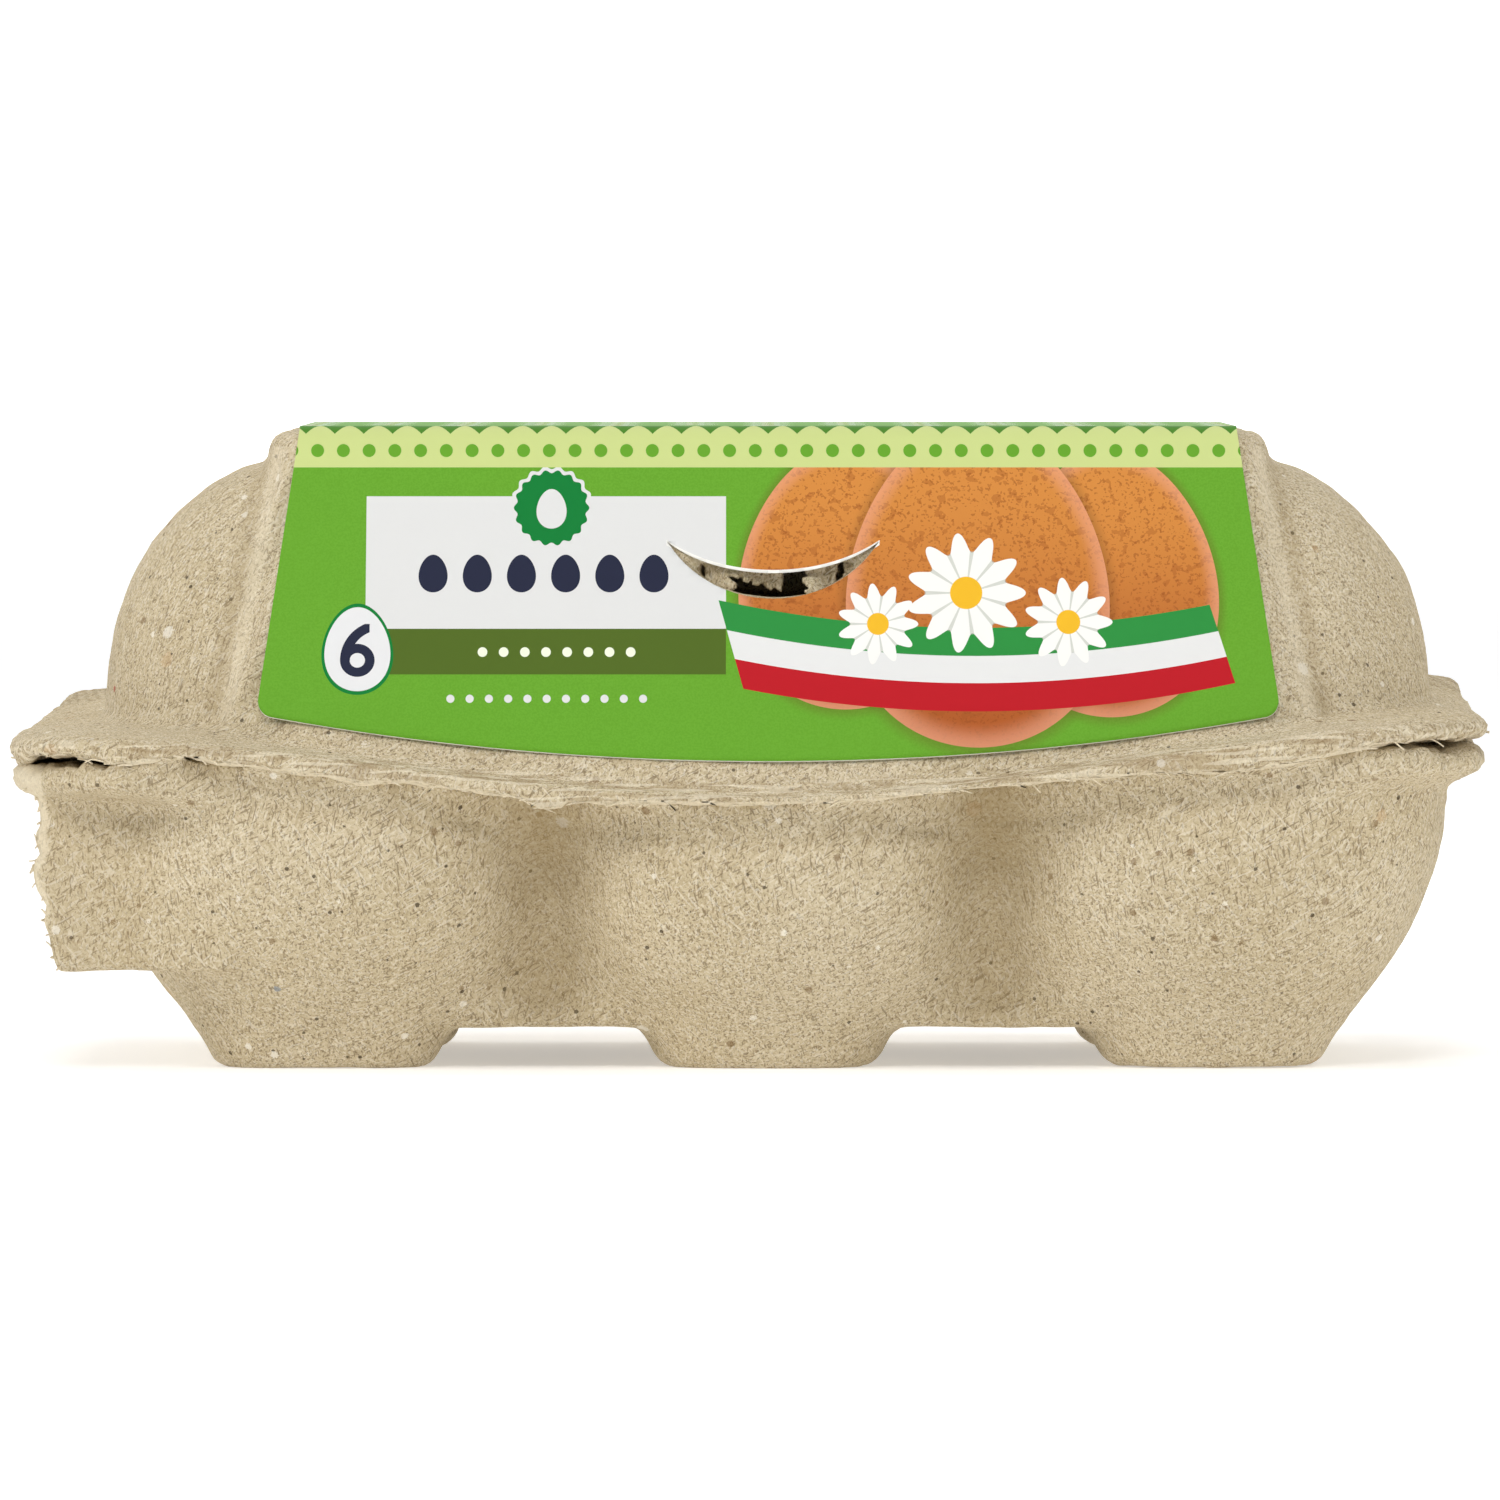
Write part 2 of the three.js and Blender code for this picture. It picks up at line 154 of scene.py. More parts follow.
def write_number(piece, name, numbers):
    attribute = piece.data.attributes.new(name, "FLOAT", "POINT")
    attribute.data.foreach_set("value", numbers.astype(np.float32))


def weigh(piece, name, weights):
    group = piece.vertex_groups.new(name=name)
    steps = np.round(np.clip(weights, 0, 1) * 40).astype(int)
    for step in range(1, 41):
        group.add(np.nonzero(steps == step)[0].tolist(), step / 40, "REPLACE")
    return name


def clouds(name, size, depth=1):
    texture = bpy.data.textures.new(name, "CLOUDS")
    texture.noise_scale = size * MM
    texture.noise_depth = depth
    texture.noise_basis = "IMPROVED_PERLIN"
    return texture


def smooth_step(value, low, high):
    share = np.clip((value - low) / (high - low), 0, 1)
    return share * share * (3 - 2 * share)


def extrude(piece, way):
    """Pulls a flat outline out to a closed block."""
    only(piece)
    bpy.ops.object.mode_set(mode="EDIT")
    bpy.ops.mesh.select_all(action="SELECT")
    bpy.ops.mesh.extrude_region_move(TRANSFORM_OT_translate={"value": [c * MM for c in way]})
    bpy.ops.mesh.select_all(action="SELECT")
    bpy.ops.mesh.normals_make_consistent(inside=False)
    bpy.ops.object.mode_set(mode="OBJECT")
    return piece


def cut(piece, operation, block):
    """Keeps what a piece shares with a block, or takes it away."""
    apply_modifier(piece, "BOOLEAN", operation=operation, object=block, solver="EXACT")
    bpy.data.objects.remove(block)


def select_faces(piece, chosen):
    """Selects the faces whose middle, in millimetres, and normal are chosen, and opens edit mode."""
    bpy.context.tool_settings.mesh_select_mode = (False, False, True)
    for polygon in piece.data.polygons:
        polygon.select = bool(chosen(polygon.center / MM, polygon.normal))
    only(piece)
    bpy.ops.object.mode_set(mode="EDIT")


# %% [markdown]
# ## The parting line
#
# Lid and tray meet along a line round the carton. It sinks by five millimetres in the middle of the
# front and climbs a little to the hinge at the back. It could be drawn as a curve, but a formula can
# be asked for its height anywhere, and every later step asks. The sizes are those of the packed
# model, in millimetres from the middle of the cups.

# %% Height of the parting line
CENTRE_X = 1.9  # the middle of the cups
RIM_HEIGHT = 33.3
RIM_TILT = 0.012  # the line climbs a little from left to right
FRONT_DIP = 5.2
DIP_REACH = 76
BACK_RISE = 2.4


def front_middle(x, y):
    """1 at the middle of the front, and 0 at its ends and at the back."""
    wave = np.where(np.abs(x) < DIP_REACH, np.cos(math.pi * x / (2 * DIP_REACH)) ** 2, 0)
    return wave * (1 - smooth_step(y, -48, 5))


def rim_height(x, y):
    rise = BACK_RISE * smooth_step(y, 0, 44)
    return RIM_HEIGHT + RIM_TILT * x - FRONT_DIP * front_middle(x, y) + rise


def shut(x, y):
    """1 where the lip rests on the tray, along the front and at its tips, and 0 elsewhere."""
    ends = np.where(x < 0, smooth_step(-x, 67, 72), smooth_step(x, 62, 68))
    tips = np.where(x < 0, smooth_step(-x, 75, 76.3), smooth_step(x, 73, 74.2))
    front, front_half = 1 - smooth_step(y, -44, -30), 1 - smooth_step(y, -22, -8)
    return np.maximum((1 - ends) * front, tips * front_half)


print("parting line at the middle of the front:", round(float(rim_height(0.0, -50.0)), 2), "mm")

# %% [markdown]
# ## Lid and tray
#
# Moulded pulp has no sharp edge anywhere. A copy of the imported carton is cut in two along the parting
# line, by a block whose underside follows that line, and each half is rebuilt from small cubes by a
# Remesh modifier and then smoothed. That gives every edge the soft round that pulp has, and leaves
# small even faces which can be dented and frayed.

# %% A block above the parting line
BLOCK_SIZE = (176, 124)
BLOCK_STEPS = {"x_subdivisions": 96, "y_subdivisions": 64}
BLOCK_HEIGHT = 60
BLOCK_LIFT = 0.05


def parting_block(shut_height, open_height):
    """A tall block whose underside is the parting line: here higher or lower, shut or open."""
    bpy.ops.mesh.primitive_grid_add(size=1, **BLOCK_STEPS)
    block = bpy.context.object
    block.name = "parting_block"
    points = points_of(block) * MM * np.array([*BLOCK_SIZE, 0])
    x, y = points[:, 0], points[:, 1]
    corners = BLOCK_LIFT + open_height * (1 - smooth_step(y, -30, -15))
    points[:, 2] = rim_height(x, y) + corners + (shut_height - corners) * shut(x, y)
    points[:, 0] += CENTRE_X
    place_points(block, points)
    return extrude(block, (0, 0, BLOCK_HEIGHT))


# %% [markdown]
# A Boolean modifier keeps what the copy and the block share, which is the lid, or takes the block
# away, which leaves the tray. Along the front the lid is cut a little lower than the tray, so that
# the two touch, and at the front corners a little higher, so that the dark slits there stay open.

# %% Lid and tray
MERGE_REACH = 0.001


def half_carton(name, operation, shut_height, open_height):
    """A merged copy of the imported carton, of which the block keeps or takes away the upper part."""
    block = parting_block(shut_height, open_height)
    piece = bpy.data.objects.new(name, carton_node.data.copy())
    bpy.context.scene.collection.objects.link(piece)
    piece.data.materials.clear()
    only(piece)
    bpy.ops.object.mode_set(mode="EDIT")
    bpy.ops.mesh.select_all(action="SELECT")
    bpy.ops.mesh.remove_doubles(threshold=MERGE_REACH * MM)
    bpy.ops.object.mode_set(mode="OBJECT")
    cut(piece, operation, block)
    return piece


def soften(piece, cube):
    """Rebuilds a piece from cubes of this size and smooths away their steps."""
    apply_modifier(piece, "REMESH", mode="VOXEL", voxel_size=cube * MM, use_smooth_shade=True)
    apply_modifier(piece, "SMOOTH", factor=0.5, iterations=5)


lid = half_carton("lid", "INTERSECT", -1.0, 0.3)
tray = half_carton("tray", "DIFFERENCE", -0.45, -0.3)

# %% [markdown]
# ## The slot of the lock
#
# A tongue of the tray stands behind a smile-shaped slot in the front panel and keeps the lid shut.
# The slot's two edges are simple curves that meet at the tips, so its outline is worked out point by
# point and then extruded to a cutter. The lid is cut deep enough that its hollow inside looks black,
# as the real one does. The same cutter serves for the paper later on. Only then are lid and tray
# softened, so that the slot gets the soft edge of pulp too.

# %% Slot cutter
SLOT_MIDDLE = CENTRE_X + 0.5
SLOT_LOWER = ((-11, 55.1), (-6.05, 47.3), (6.05, 47.3), (11, 55.1))
SLOT_UPPER = ((-11, 55.1), (-5.5, 50.8), (5.5, 50.8), (11, 55.1))
SLOT_STEPS = 28
CUTTER_START = -60


def curve_point(handles, share):
    a, b, c, d = [np.array(handle, dtype=float) for handle in handles]
    rest = 1 - share
    return a * rest**3 + 3 * b * rest**2 * share + 3 * c * rest * share**2 + d * share**3


def slot_cutter(depth):
    """The outline of the slot before the carton, extruded backwards."""
    lower = [curve_point(SLOT_LOWER, k / SLOT_STEPS) for k in range(SLOT_STEPS + 1)]
    upper = [curve_point(SLOT_UPPER, 1 - k / SLOT_STEPS) for k in range(1, SLOT_STEPS)]
    outline = [(x + SLOT_MIDDLE, CUTTER_START, z) for x, z in (*lower, *upper)]
    mesh = bpy.data.meshes.new("slot_cutter")
    mesh.from_pydata([Vector(p) * MM for p in outline], [], [list(range(len(outline)))])
    cutter = bpy.data.objects.new("slot_cutter", mesh)
    bpy.context.scene.collection.objects.link(cutter)
    return extrude(cutter, (0, depth, 0))


HOLLOW_DEPTH = 36
LID_CUBE, TRAY_CUBE = 0.71, 0.77
cut(lid, "DIFFERENCE", slot_cutter(HOLLOW_DEPTH))
soften(lid, LID_CUBE)
soften(tray, TRAY_CUBE)

# %% [markdown]
# ## Dents and torn edges
#
# Pulp is never quite even: it sags and swells by a few tenths of a millimetre as it dries, and the
# valleys between the cups are deeper than the imported solid has them. A sculpting brush could do
# this. Displace modifiers with a cloudy pattern do it evenly and the same way in every run. The
# valleys and the torn left end are marked for painted shade as well.
# Before the points move, each one is given its height above the parting line, so that the finish can
# follow the edge afterwards.

# %% Dents, and painted shade in the valleys
def rim_reach(piece):
    """How far each point lies above the parting line."""
    points = points_of(piece)
    return points[:, 2] - rim_height(points[:, 0] - CENTRE_X, points[:, 1])


VALLEY_PLACE, VALLEY_WIDTH, VALLEY_PRESS = 23.3, 5, 3


def press_valleys():
    """Presses the valleys in, and marks them and the torn left end for painted shade."""
    points = points_of(tray)
    x, y, z = points.T
    valley_and_painted_shade = np.exp(-(((np.abs(x - CENTRE_X) - VALLEY_PLACE) / VALLEY_WIDTH) ** 2))
    upright = smooth_step(z, 4, 10) * (1 - smooth_step(rim_reach(tray), -9, -3))
    outside = smooth_step(np.abs(y), 30, 35)
    points[:, 1] -= np.sign(y) * VALLEY_PRESS * valley_and_painted_shade * upright * outside
    place_points(tray, points)
    # Painted shade: darker in the valleys, most of all high up under the lip, and at the torn left end.
    shade = valley_and_painted_shade * outside * smooth_step(z, 0, 9) * (1 + 0.8 * smooth_step(z, 15, 25))
    left_end_shade = 0.5 * smooth_step(-(x - CENTRE_X), 61, 67) * (z > 9)
    write_number(tray, "valley_and_painted_shade", np.maximum(shade, left_end_shade))


press_valleys()

for piece in (lid, tray):
    write_number(piece, "above_rim", rim_reach(piece))

UNEVEN = [(clouds("dents", 14), 0.9), (clouds("ripples", 3.5, 2), 0.35)]
for piece in (lid, tray):
    for texture, strength in UNEVEN:
        apply_modifier(piece, "DISPLACE", texture=texture, strength=strength * MM, mid_level=0.5)

# %% [markdown]
# The rims are not cut but torn from the sheet, so the lid's lip ends in a ragged line. Its large
# steps are a table of places and heights, read along the front, and the small ones come from two more
# Displace modifiers, which act only where a point is close to the edge.

# %% Ragged lip
LIP_LINE = [  # place along the front, and how far the torn edge runs above the moulded one
    (-75, 0), (-66, 0.5), (-60.6, 1.7), (-57, 1.2), (-50.5, 1.0), (-46.5, 0.9), (-42.2, 0.5),
    (-36.6, 1.0), (-27.8, 0.5), (-24.6, 0.1), (-23.5, -0.35), (-21.6, -0.1), (-20.8, 0.5),
    (-11.3, 0.9), (-1.4, 0.8), (11.9, 0.85), (24, 1.2), (37.2, 0.8), (40.5, 0.6), (47.2, -0.2),
    (53.9, 0), (59.1, 0.8), (64.7, 0.9), (70, 0),
]
LIP_LOW = -0.8  # the lip's edge, from the parting line
FRAY = 1.0
fray_long = clouds("fray_long", 6, 1)
fray_short = clouds("fray_short", 1.5, 2)


def lift_edge(piece, reach, lift):
    """Moves the points near the edge up by `lift`, along the front only."""
    points = points_of(piece)
    x, y = points[:, 0] - CENTRE_X, points[:, 1]
    near = np.exp(-(((rim_reach(piece) - LIP_LOW) / reach) ** 2))
    points[:, 2] += near * (1 - smooth_step(y, -38, -25)) * lift(x)
    place_points(piece, points)


def fray(piece, reach):
    """Makes the edge uneven, upwards and downwards."""
    edge = weigh(piece, "edge", np.exp(-np.abs(rim_reach(piece) - LIP_LOW) / reach))
    for texture in (fray_long, fray_short):
        apply_modifier(
            piece, "DISPLACE", texture=texture, direction="Z", vertex_group=edge,
            strength=FRAY * MM, mid_level=0.5,
        )


lip_places, lip_lifts = np.array(LIP_LINE).T
for piece, reach in ((lid, 1.3), (tray, 1.4)):
    lift_edge(piece, reach, lambda x: np.interp(x, lip_places, lip_lifts))
fray(lid, 0.9)

# %% [markdown]
# At the left end this carton was torn off its neighbour, and what is left is a thin upright web with
# a crumbled edge. The ends of the lip are crumbled too. A table gives the web's edge its line, as
# the lip's table does, and crumpling is a Displace modifier with a finer and stronger pattern.

# %% Ragged ends
WEB_LINE = [  # height, and how far the torn end of the left web lies inwards of the moulded one
    (9.5, 2.2), (10.5, 0.9), (12, 0.5), (14.5, 0.7), (15.6, 0.3), (17.5, 0.9), (18.6, 0.1),
    (20, -0.3), (21.8, -0.2), (22.8, 0.7), (24.6, 0.3), (25.6, 0.8), (27.6, 0.3), (29, 0),
]
WEB_LOW = 9  # the web starts above this height


def crumple(piece, weights, size, strength):
    """Pushes the weighed points in and out by patches of this size."""
    group = weigh(piece, "crumple", weights)
    texture = clouds("crumple", size, 2)
    apply_modifier(
        piece, "DISPLACE", texture=texture, vertex_group=group,
        strength=strength * MM, mid_level=0.5,
    )


for piece in (lid, tray):
    x = points_of(piece)[:, 0] - CENTRE_X
    ends = smooth_step(np.abs(x), 58, 70) * np.exp(-np.abs(rim_reach(piece)) / 3)
    bulge = np.exp(-(((x + 59.6) / 2.2) ** 2)) * np.exp(-(((rim_reach(piece) - 1) / 2) ** 2))
    crumple(piece, ends + bulge, 2.6, 1.6)
    crumple(piece, ends, 1.1, 0.9)
x, _, z = points_of(tray).T
torn_web = smooth_step(-(x - CENTRE_X), 71.5, 75) * (z > WEB_LOW)
crumple(tray, torn_web, 3.2, 1.6)
crumple(tray, torn_web, 1.6, 1.6)
web_places, web_insets = np.array(WEB_LINE).T
points = points_of(tray)
web_end = smooth_step(-(x - CENTRE_X), 73, 76) * (z > WEB_LOW)
points[:, 0] += web_end * np.interp(z, web_places, web_insets)
place_points(tray, points)
write_number(tray, "torn", smooth_step(-(x - CENTRE_X), 74.6, 76.4) * (z > WEB_LOW))

# %% [markdown]
# The real carton fits its box on the shelf with all its dents and torn fibres. So every point is
# kept inside the box of the imported model, and one that lies outside is brought back to it.


# %% Keep every point inside the imported carton's box
BOX_MARGIN = 0.01


def keep_inside(piece, node):
    low, high = [np.array(corner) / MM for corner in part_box(node)]
    place_points(piece, np.clip(points_of(piece), low + BOX_MARGIN, high - BOX_MARGIN))
    print(f"{piece.name}: {len(piece.data.vertices)} points stay inside the carton's box")


keep_inside(lid, "carton")
keep_inside(tray, "carton")

# %% [markdown]
# Shreds of pulp stand out of every torn edge. Hair particles could make them, but they are flat and
# torn, not round. So each one is a tiny tapering strip, a millimetre or two long and a little bowed,
# which starts at a point of the edge and leans its own way. The random numbers are seeded, so that
# every run gives the same shreds, and all of them are joined to one piece.

# %% Shreds on the torn edges
LIP_SHREDS, WEB_SHREDS = 150, 16
SHRED_THICKNESS, SHRED_ROOT, SHRED_TAPER = 0.13, 0.35, 0.8
SHRED_PALENESS = 0.6
rng = np.random.default_rng(7)


def edge_places(points, axis, towards, count):
    """Places along an edge: near each step along `axis`, the point that lies farthest `towards`."""
    places = []
    for at in np.linspace(points[:, axis].min(), points[:, axis].max(), count):
        at += rng.uniform(-0.4, 0.4)
        near = points[np.abs(points[:, axis] - at) < 0.5]
        if len(near):
            places.append(near[np.argmax(near @ np.array(towards))])
    return places


def shred(place, lead, length, width):
    """A bowed strip that starts just inside the pulp and narrows along `lead`."""
    bpy.ops.mesh.primitive_grid_add(x_subdivisions=5, y_subdivisions=1, size=2)
    strip = bpy.context.object
    flat = points_of(strip) * MM
    along, across = (flat[:, 0] + 1) / 2, flat[:, 1]
    lead = lead / np.linalg.norm(lead)
    side = np.cross(lead, rng.normal(size=3))
    side /= np.linalg.norm(side)
    bow = rng.uniform(-0.4, 0.4) * length
    points = place + np.outer(along * length - SHRED_ROOT, lead)
    points += np.outer(bow * along**2, np.cross(lead, side))
    points += np.outer(across * width / 2 * (1 - SHRED_TAPER * along), side)
    place_points(strip, points)
    return strip


def torn_shreds():
    lid_points, tray_points = points_of(lid), points_of(tray)
    lip = lid_points[(lid_points[:, 1] < -30) & (np.abs(rim_reach(lid) + 0.3) < 1.5)]
    x, y, z = tray_points.T
    web = tray_points[(x < -69) & (np.abs(z - 20) < 9.5) & (y < 0)]
    strips = []
    for place in edge_places(lip, 0, (0, -0.5, -1), LIP_SHREDS):
        along = rng.choice([-1, 1]) * rng.uniform(0.5, 1.6)
        lead = np.array([along, rng.uniform(-0.5, 0.1), rng.uniform(-0.6, 0.15)])
        strips.append(shred(place, lead, rng.uniform(0.6, 1.9), rng.uniform(0.12, 0.4)))
    for place in edge_places(web, 2, (-1, -0.3, 0), WEB_SHREDS):
        lead = np.array([rng.uniform(-0.7, -0.1), rng.uniform(-0.7, 0.1), rng.uniform(-1.2, 1.2)])
        strips.append(shred(place, lead, rng.uniform(0.6, 1.2), rng.uniform(0.3, 0.7)))
    for strip in strips:
        strip.select_set(True)
    bpy.ops.object.join()
    shreds = bpy.context.object
    shreds.name = "shreds"
    return shreds


shreds = torn_shreds()
apply_modifier(shreds, "SOLIDIFY", thickness=SHRED_THICKNESS * MM, offset=0)
keep_inside(shreds, "carton")
write_number(shreds, "torn", np.full(len(shreds.data.vertices), SHRED_PALENESS))
print("shreds:", len(shreds.data.polygons), "faces")

# %% [markdown]
# ## The label
#
# The label is a strip of printed paper that starts on the front panel, bends over the front edge,
# crosses the flat top and ends on the rear panel. First comes the line that the paper follows: two
# sloping panels and the flat top, joined by arcs of two millimetres, a hair above the pulp. Its foot
# on the front is bowed, with round corners.

# %% Section of the lid under the label
HEIGHT = 66.6
PANEL_TOP_Y = 32  # where the sloping panel would meet the flat top
PANEL_SLOPE = 0.485
LEAN = math.atan(PANEL_SLOPE)
EDGE_RADIUS = 2
TANGENT = EDGE_RADIUS * math.tan(math.pi / 4 - LEAN / 2)
TOP_HALF, FOOT_HALF = 49, 53.2
FRONT_FOOT, FRONT_BOW, BACK_FOOT = 32.3, 4.8, 42
CORNER = 1.6
PAPER_GAP = 0.3
PAPER = 0.24
SHEET_SPAN = 200  # millimetres of paper in one unit of its UV map
ARC_MIDDLE = (PANEL_TOP_Y - TANGENT, HEIGHT - EDGE_RADIUS)
TOP_LENGTH = 2 * (PANEL_TOP_Y - TANGENT)


def panel_point(z):
    y = PANEL_TOP_Y + (HEIGHT - z) * PANEL_SLOPE
    return y + PAPER_GAP * math.cos(LEAN), z + PAPER_GAP * math.sin(LEAN)


def arc_point(share):
    rise = LEAN + (math.pi / 2 - LEAN) * share
    radius = EDGE_RADIUS + PAPER_GAP
    return ARC_MIDDLE[0] + radius * math.cos(rise), ARC_MIDDLE[1] + radius * math.sin(rise)


def foot_height(share, foot, bow):
    """The height of the sheet's end: bowed, and rounded at its two corners."""
    corner = max(0, abs(share) * FOOT_HALF - FOOT_HALF + CORNER)
    return foot + bow * share**2 + CORNER - math.sqrt(max(0, CORNER**2 - corner**2))


# %% [markdown]
# A paper sheet could be dropped on the lid by a cloth simulation. This one has only two bends, so it
# is made flat, as a grid, and laid over the lid: each row of points gets its place along the section,
# and each column its share of the width, which grows towards the front's lower edge. The places along
# the paper become its UV map, so that the print bends with the paper.

# %% Lay the sheet over the lid
FRONT_ROWS, ARC_ROWS, TOP_ROWS, BACK_ROWS = 60, 6, 24, 40
COLUMNS = 150


def strip(share):
    """Points of one strip as (y, z, place along the paper), from the front's foot to the back's."""
    rows = []
    front = foot_height(share, FRONT_FOOT, FRONT_BOW)
    arc_start = ARC_MIDDLE[1] + EDGE_RADIUS * math.sin(LEAN)
    for k in range(FRONT_ROWS):
        z = front + (arc_start - front) * k / FRONT_ROWS
        y, up = panel_point(z)
        rows.append((-y, up, z - HEIGHT))
    for k in range(ARC_ROWS):
        y, up = arc_point(k / ARC_ROWS)
        rows.append((-y, up, (arc_start - HEIGHT) * (1 - k / ARC_ROWS)))
    for k in range(TOP_ROWS + 1):
        y = ARC_MIDDLE[0] * (2 * k / TOP_ROWS - 1)
        rows.append((y, HEIGHT + PAPER_GAP, y + ARC_MIDDLE[0]))
    for k in range(1, ARC_ROWS + 1):
        y, up = arc_point(1 - k / ARC_ROWS)
        rows.append((y, up, TOP_LENGTH - (arc_start - HEIGHT) * k / ARC_ROWS))
    back = foot_height(share, BACK_FOOT, 0)
    for k in range(1, BACK_ROWS + 1):
        z = arc_start + (back - arc_start) * k / BACK_ROWS
        y, up = panel_point(z)
        rows.append((y, up, TOP_LENGTH + HEIGHT - z))
    return rows


def half_width(z):
    low = FRONT_FOOT + FRONT_BOW
    return FOOT_HALF + (TOP_HALF - FOOT_HALF) * (min(z, HEIGHT) - low) / (HEIGHT - low)


def label_sheet():
    """The grid, laid over the lid, with its columns closer towards the sides."""
    rows = FRONT_ROWS + 2 * ARC_ROWS + TOP_ROWS + BACK_ROWS
    bpy.ops.mesh.primitive_grid_add(x_subdivisions=COLUMNS, y_subdivisions=rows, size=2)
    sheet = bpy.context.object
    sheet.name = "paper_label"
    flat = points_of(sheet) * MM
    column = np.round((flat[:, 0] + 1) / 2 * COLUMNS).astype(int)
    row = np.round((flat[:, 1] + 1) / 2 * rows).astype(int)
    table = np.empty((COLUMNS + 1, rows + 1, 3))
    along = np.empty((COLUMNS + 1, rows + 1, 2))
    for c in range(COLUMNS + 1):
        share = math.sin((2 * c / COLUMNS - 1) * math.pi / 2)
        for r, (y, z, place) in enumerate(strip(share)):
            x = share * half_width(z)
            table[c, r] = (x + CENTRE_X, y, z)
            along[c, r] = (x / SHEET_SPAN + 0.5, place / SHEET_SPAN + 0.5)
    place_points(sheet, table[column, row])
    corners = np.empty(len(sheet.data.loops), dtype=int)
    sheet.data.loops.foreach_get("vertex_index", corners)
    layer = sheet.data.uv_layers[0]
    layer.name = "paper"
    layer.uv.foreach_set("vector", along[column[corners], row[corners]].ravel())
    return sheet


paper_label = label_sheet()
only(paper_label)
bpy.ops.object.shade_smooth()
apply_modifier(paper_label, "SOLIDIFY", thickness=PAPER * MM, offset=1)

# %% [markdown]
# The slot goes through the paper too, and was punched in one stroke with the pulp behind it. So the
# cutter of the lid is used again, only longer.

# %% Cut the paper
PAPER_CUT = 45
cut(paper_label, "DIFFERENCE", slot_cutter(PAPER_CUT))

# %% [markdown]
# ## The tongue
#
# Behind the slot stands the tongue of the tray, which locks the lid. It was bent and torn when the
# carton was shut, so only patches of it are seen, with the black hollow between them. It is a grid
# that fills the slot and waves a little behind it.


# %% The tongue behind the slot
TONGUE_STEPS = {"x_subdivisions": 88, "y_subdivisions": 16}
TONGUE_OVERLAP = 0.5


def lock_tongue():
    bpy.ops.mesh.primitive_grid_add(size=2, **TONGUE_STEPS)
    tongue = bpy.context.object
    tongue.name = "lock_tongue"
    flat = points_of(tongue) * MM
    points = np.empty_like(flat)
    for i, (u, v, _) in enumerate(flat):
        share = (u + 1) / 2
        low = curve_point(SLOT_LOWER, share) + (0, -TONGUE_OVERLAP)
        high = curve_point(SLOT_UPPER, share) + (0, TONGUE_OVERLAP)
        x, z = low + (high - low) * (v + 1) / 2
        depth = 1.1 + 0.5 * math.cos(x * 0.9) - 0.3 * math.sin(z * 1.7 + x)
        panel = PANEL_TOP_Y + (HEIGHT - z) * PANEL_SLOPE
        points[i] = (x + SLOT_MIDDLE, depth - panel, z)
    place_points(tongue, points)
    return tongue


tongue = lock_tongue()


# %% [markdown]
# The faces in the torn hole and in two slits are selected by their place and deleted. A Boolean could
# cut them too, but torn pulp ends wherever a fibre gave way, and a rule in numbers says that better.
# A wall, a subdivision and a fine Displace then give the rest the look of torn pulp.


# %% Tear the tongue
def open_hole(piece, chosen):
    """Deletes the faces whose middle is in the hole, which is told in millimetres across and up."""
    select_faces(piece, lambda middle, normal: chosen(middle[0] - SLOT_MIDDLE, middle[2]))
    bpy.ops.mesh.delete(type="FACE")
    bpy.ops.object.mode_set(mode="OBJECT")


def torn(x, z):
    """True in the hole on the left of the middle, from which a flake hangs, and in two slits."""
    ragged = 0.25 * math.sin(x * 5.1) + 0.2 * math.sin(x * 11.3 + 1)
    flake = z > 51.6 - 0.32 * (x + 3.5) + 0.5 * ragged and x < 0.9 + ragged
    hole = -4.2 + 0.5 * math.sin(z * 4) < x < 3.4 + 0.3 * math.sin(z * 5) and not flake
    slits = abs(x + 7.4 + 0.15 * (z - 52)) < 0.26 or abs(x - 7.0 - 0.2 * (z - 52)) < 0.26
    return hole or (slits and z < 53.4)


open_hole(tongue, torn)
TONGUE_WALL, TONGUE_ROUGH = 0.7, 0.5
tongue_texture = clouds("tongue", 1.2, 2)
apply_modifier(tongue, "SOLIDIFY", thickness=TONGUE_WALL * MM, offset=-1)
apply_modifier(tongue, "SUBSURF", levels=1, render_levels=1)
apply_modifier(tongue, "DISPLACE", texture=tongue_texture, strength=TONGUE_ROUGH * MM, mid_level=0.5)
only(tongue)
bpy.ops.object.shade_smooth()

# %% [markdown]
# ## Shader maths
#
# A finish is worked out from numbers that vary over the surface. `Value` wraps such a number and
# lets Python's own operators add the Math nodes, so that a pattern reads like a formula. `Finish`
# holds one material, and its `node` method makes every other kind of node.

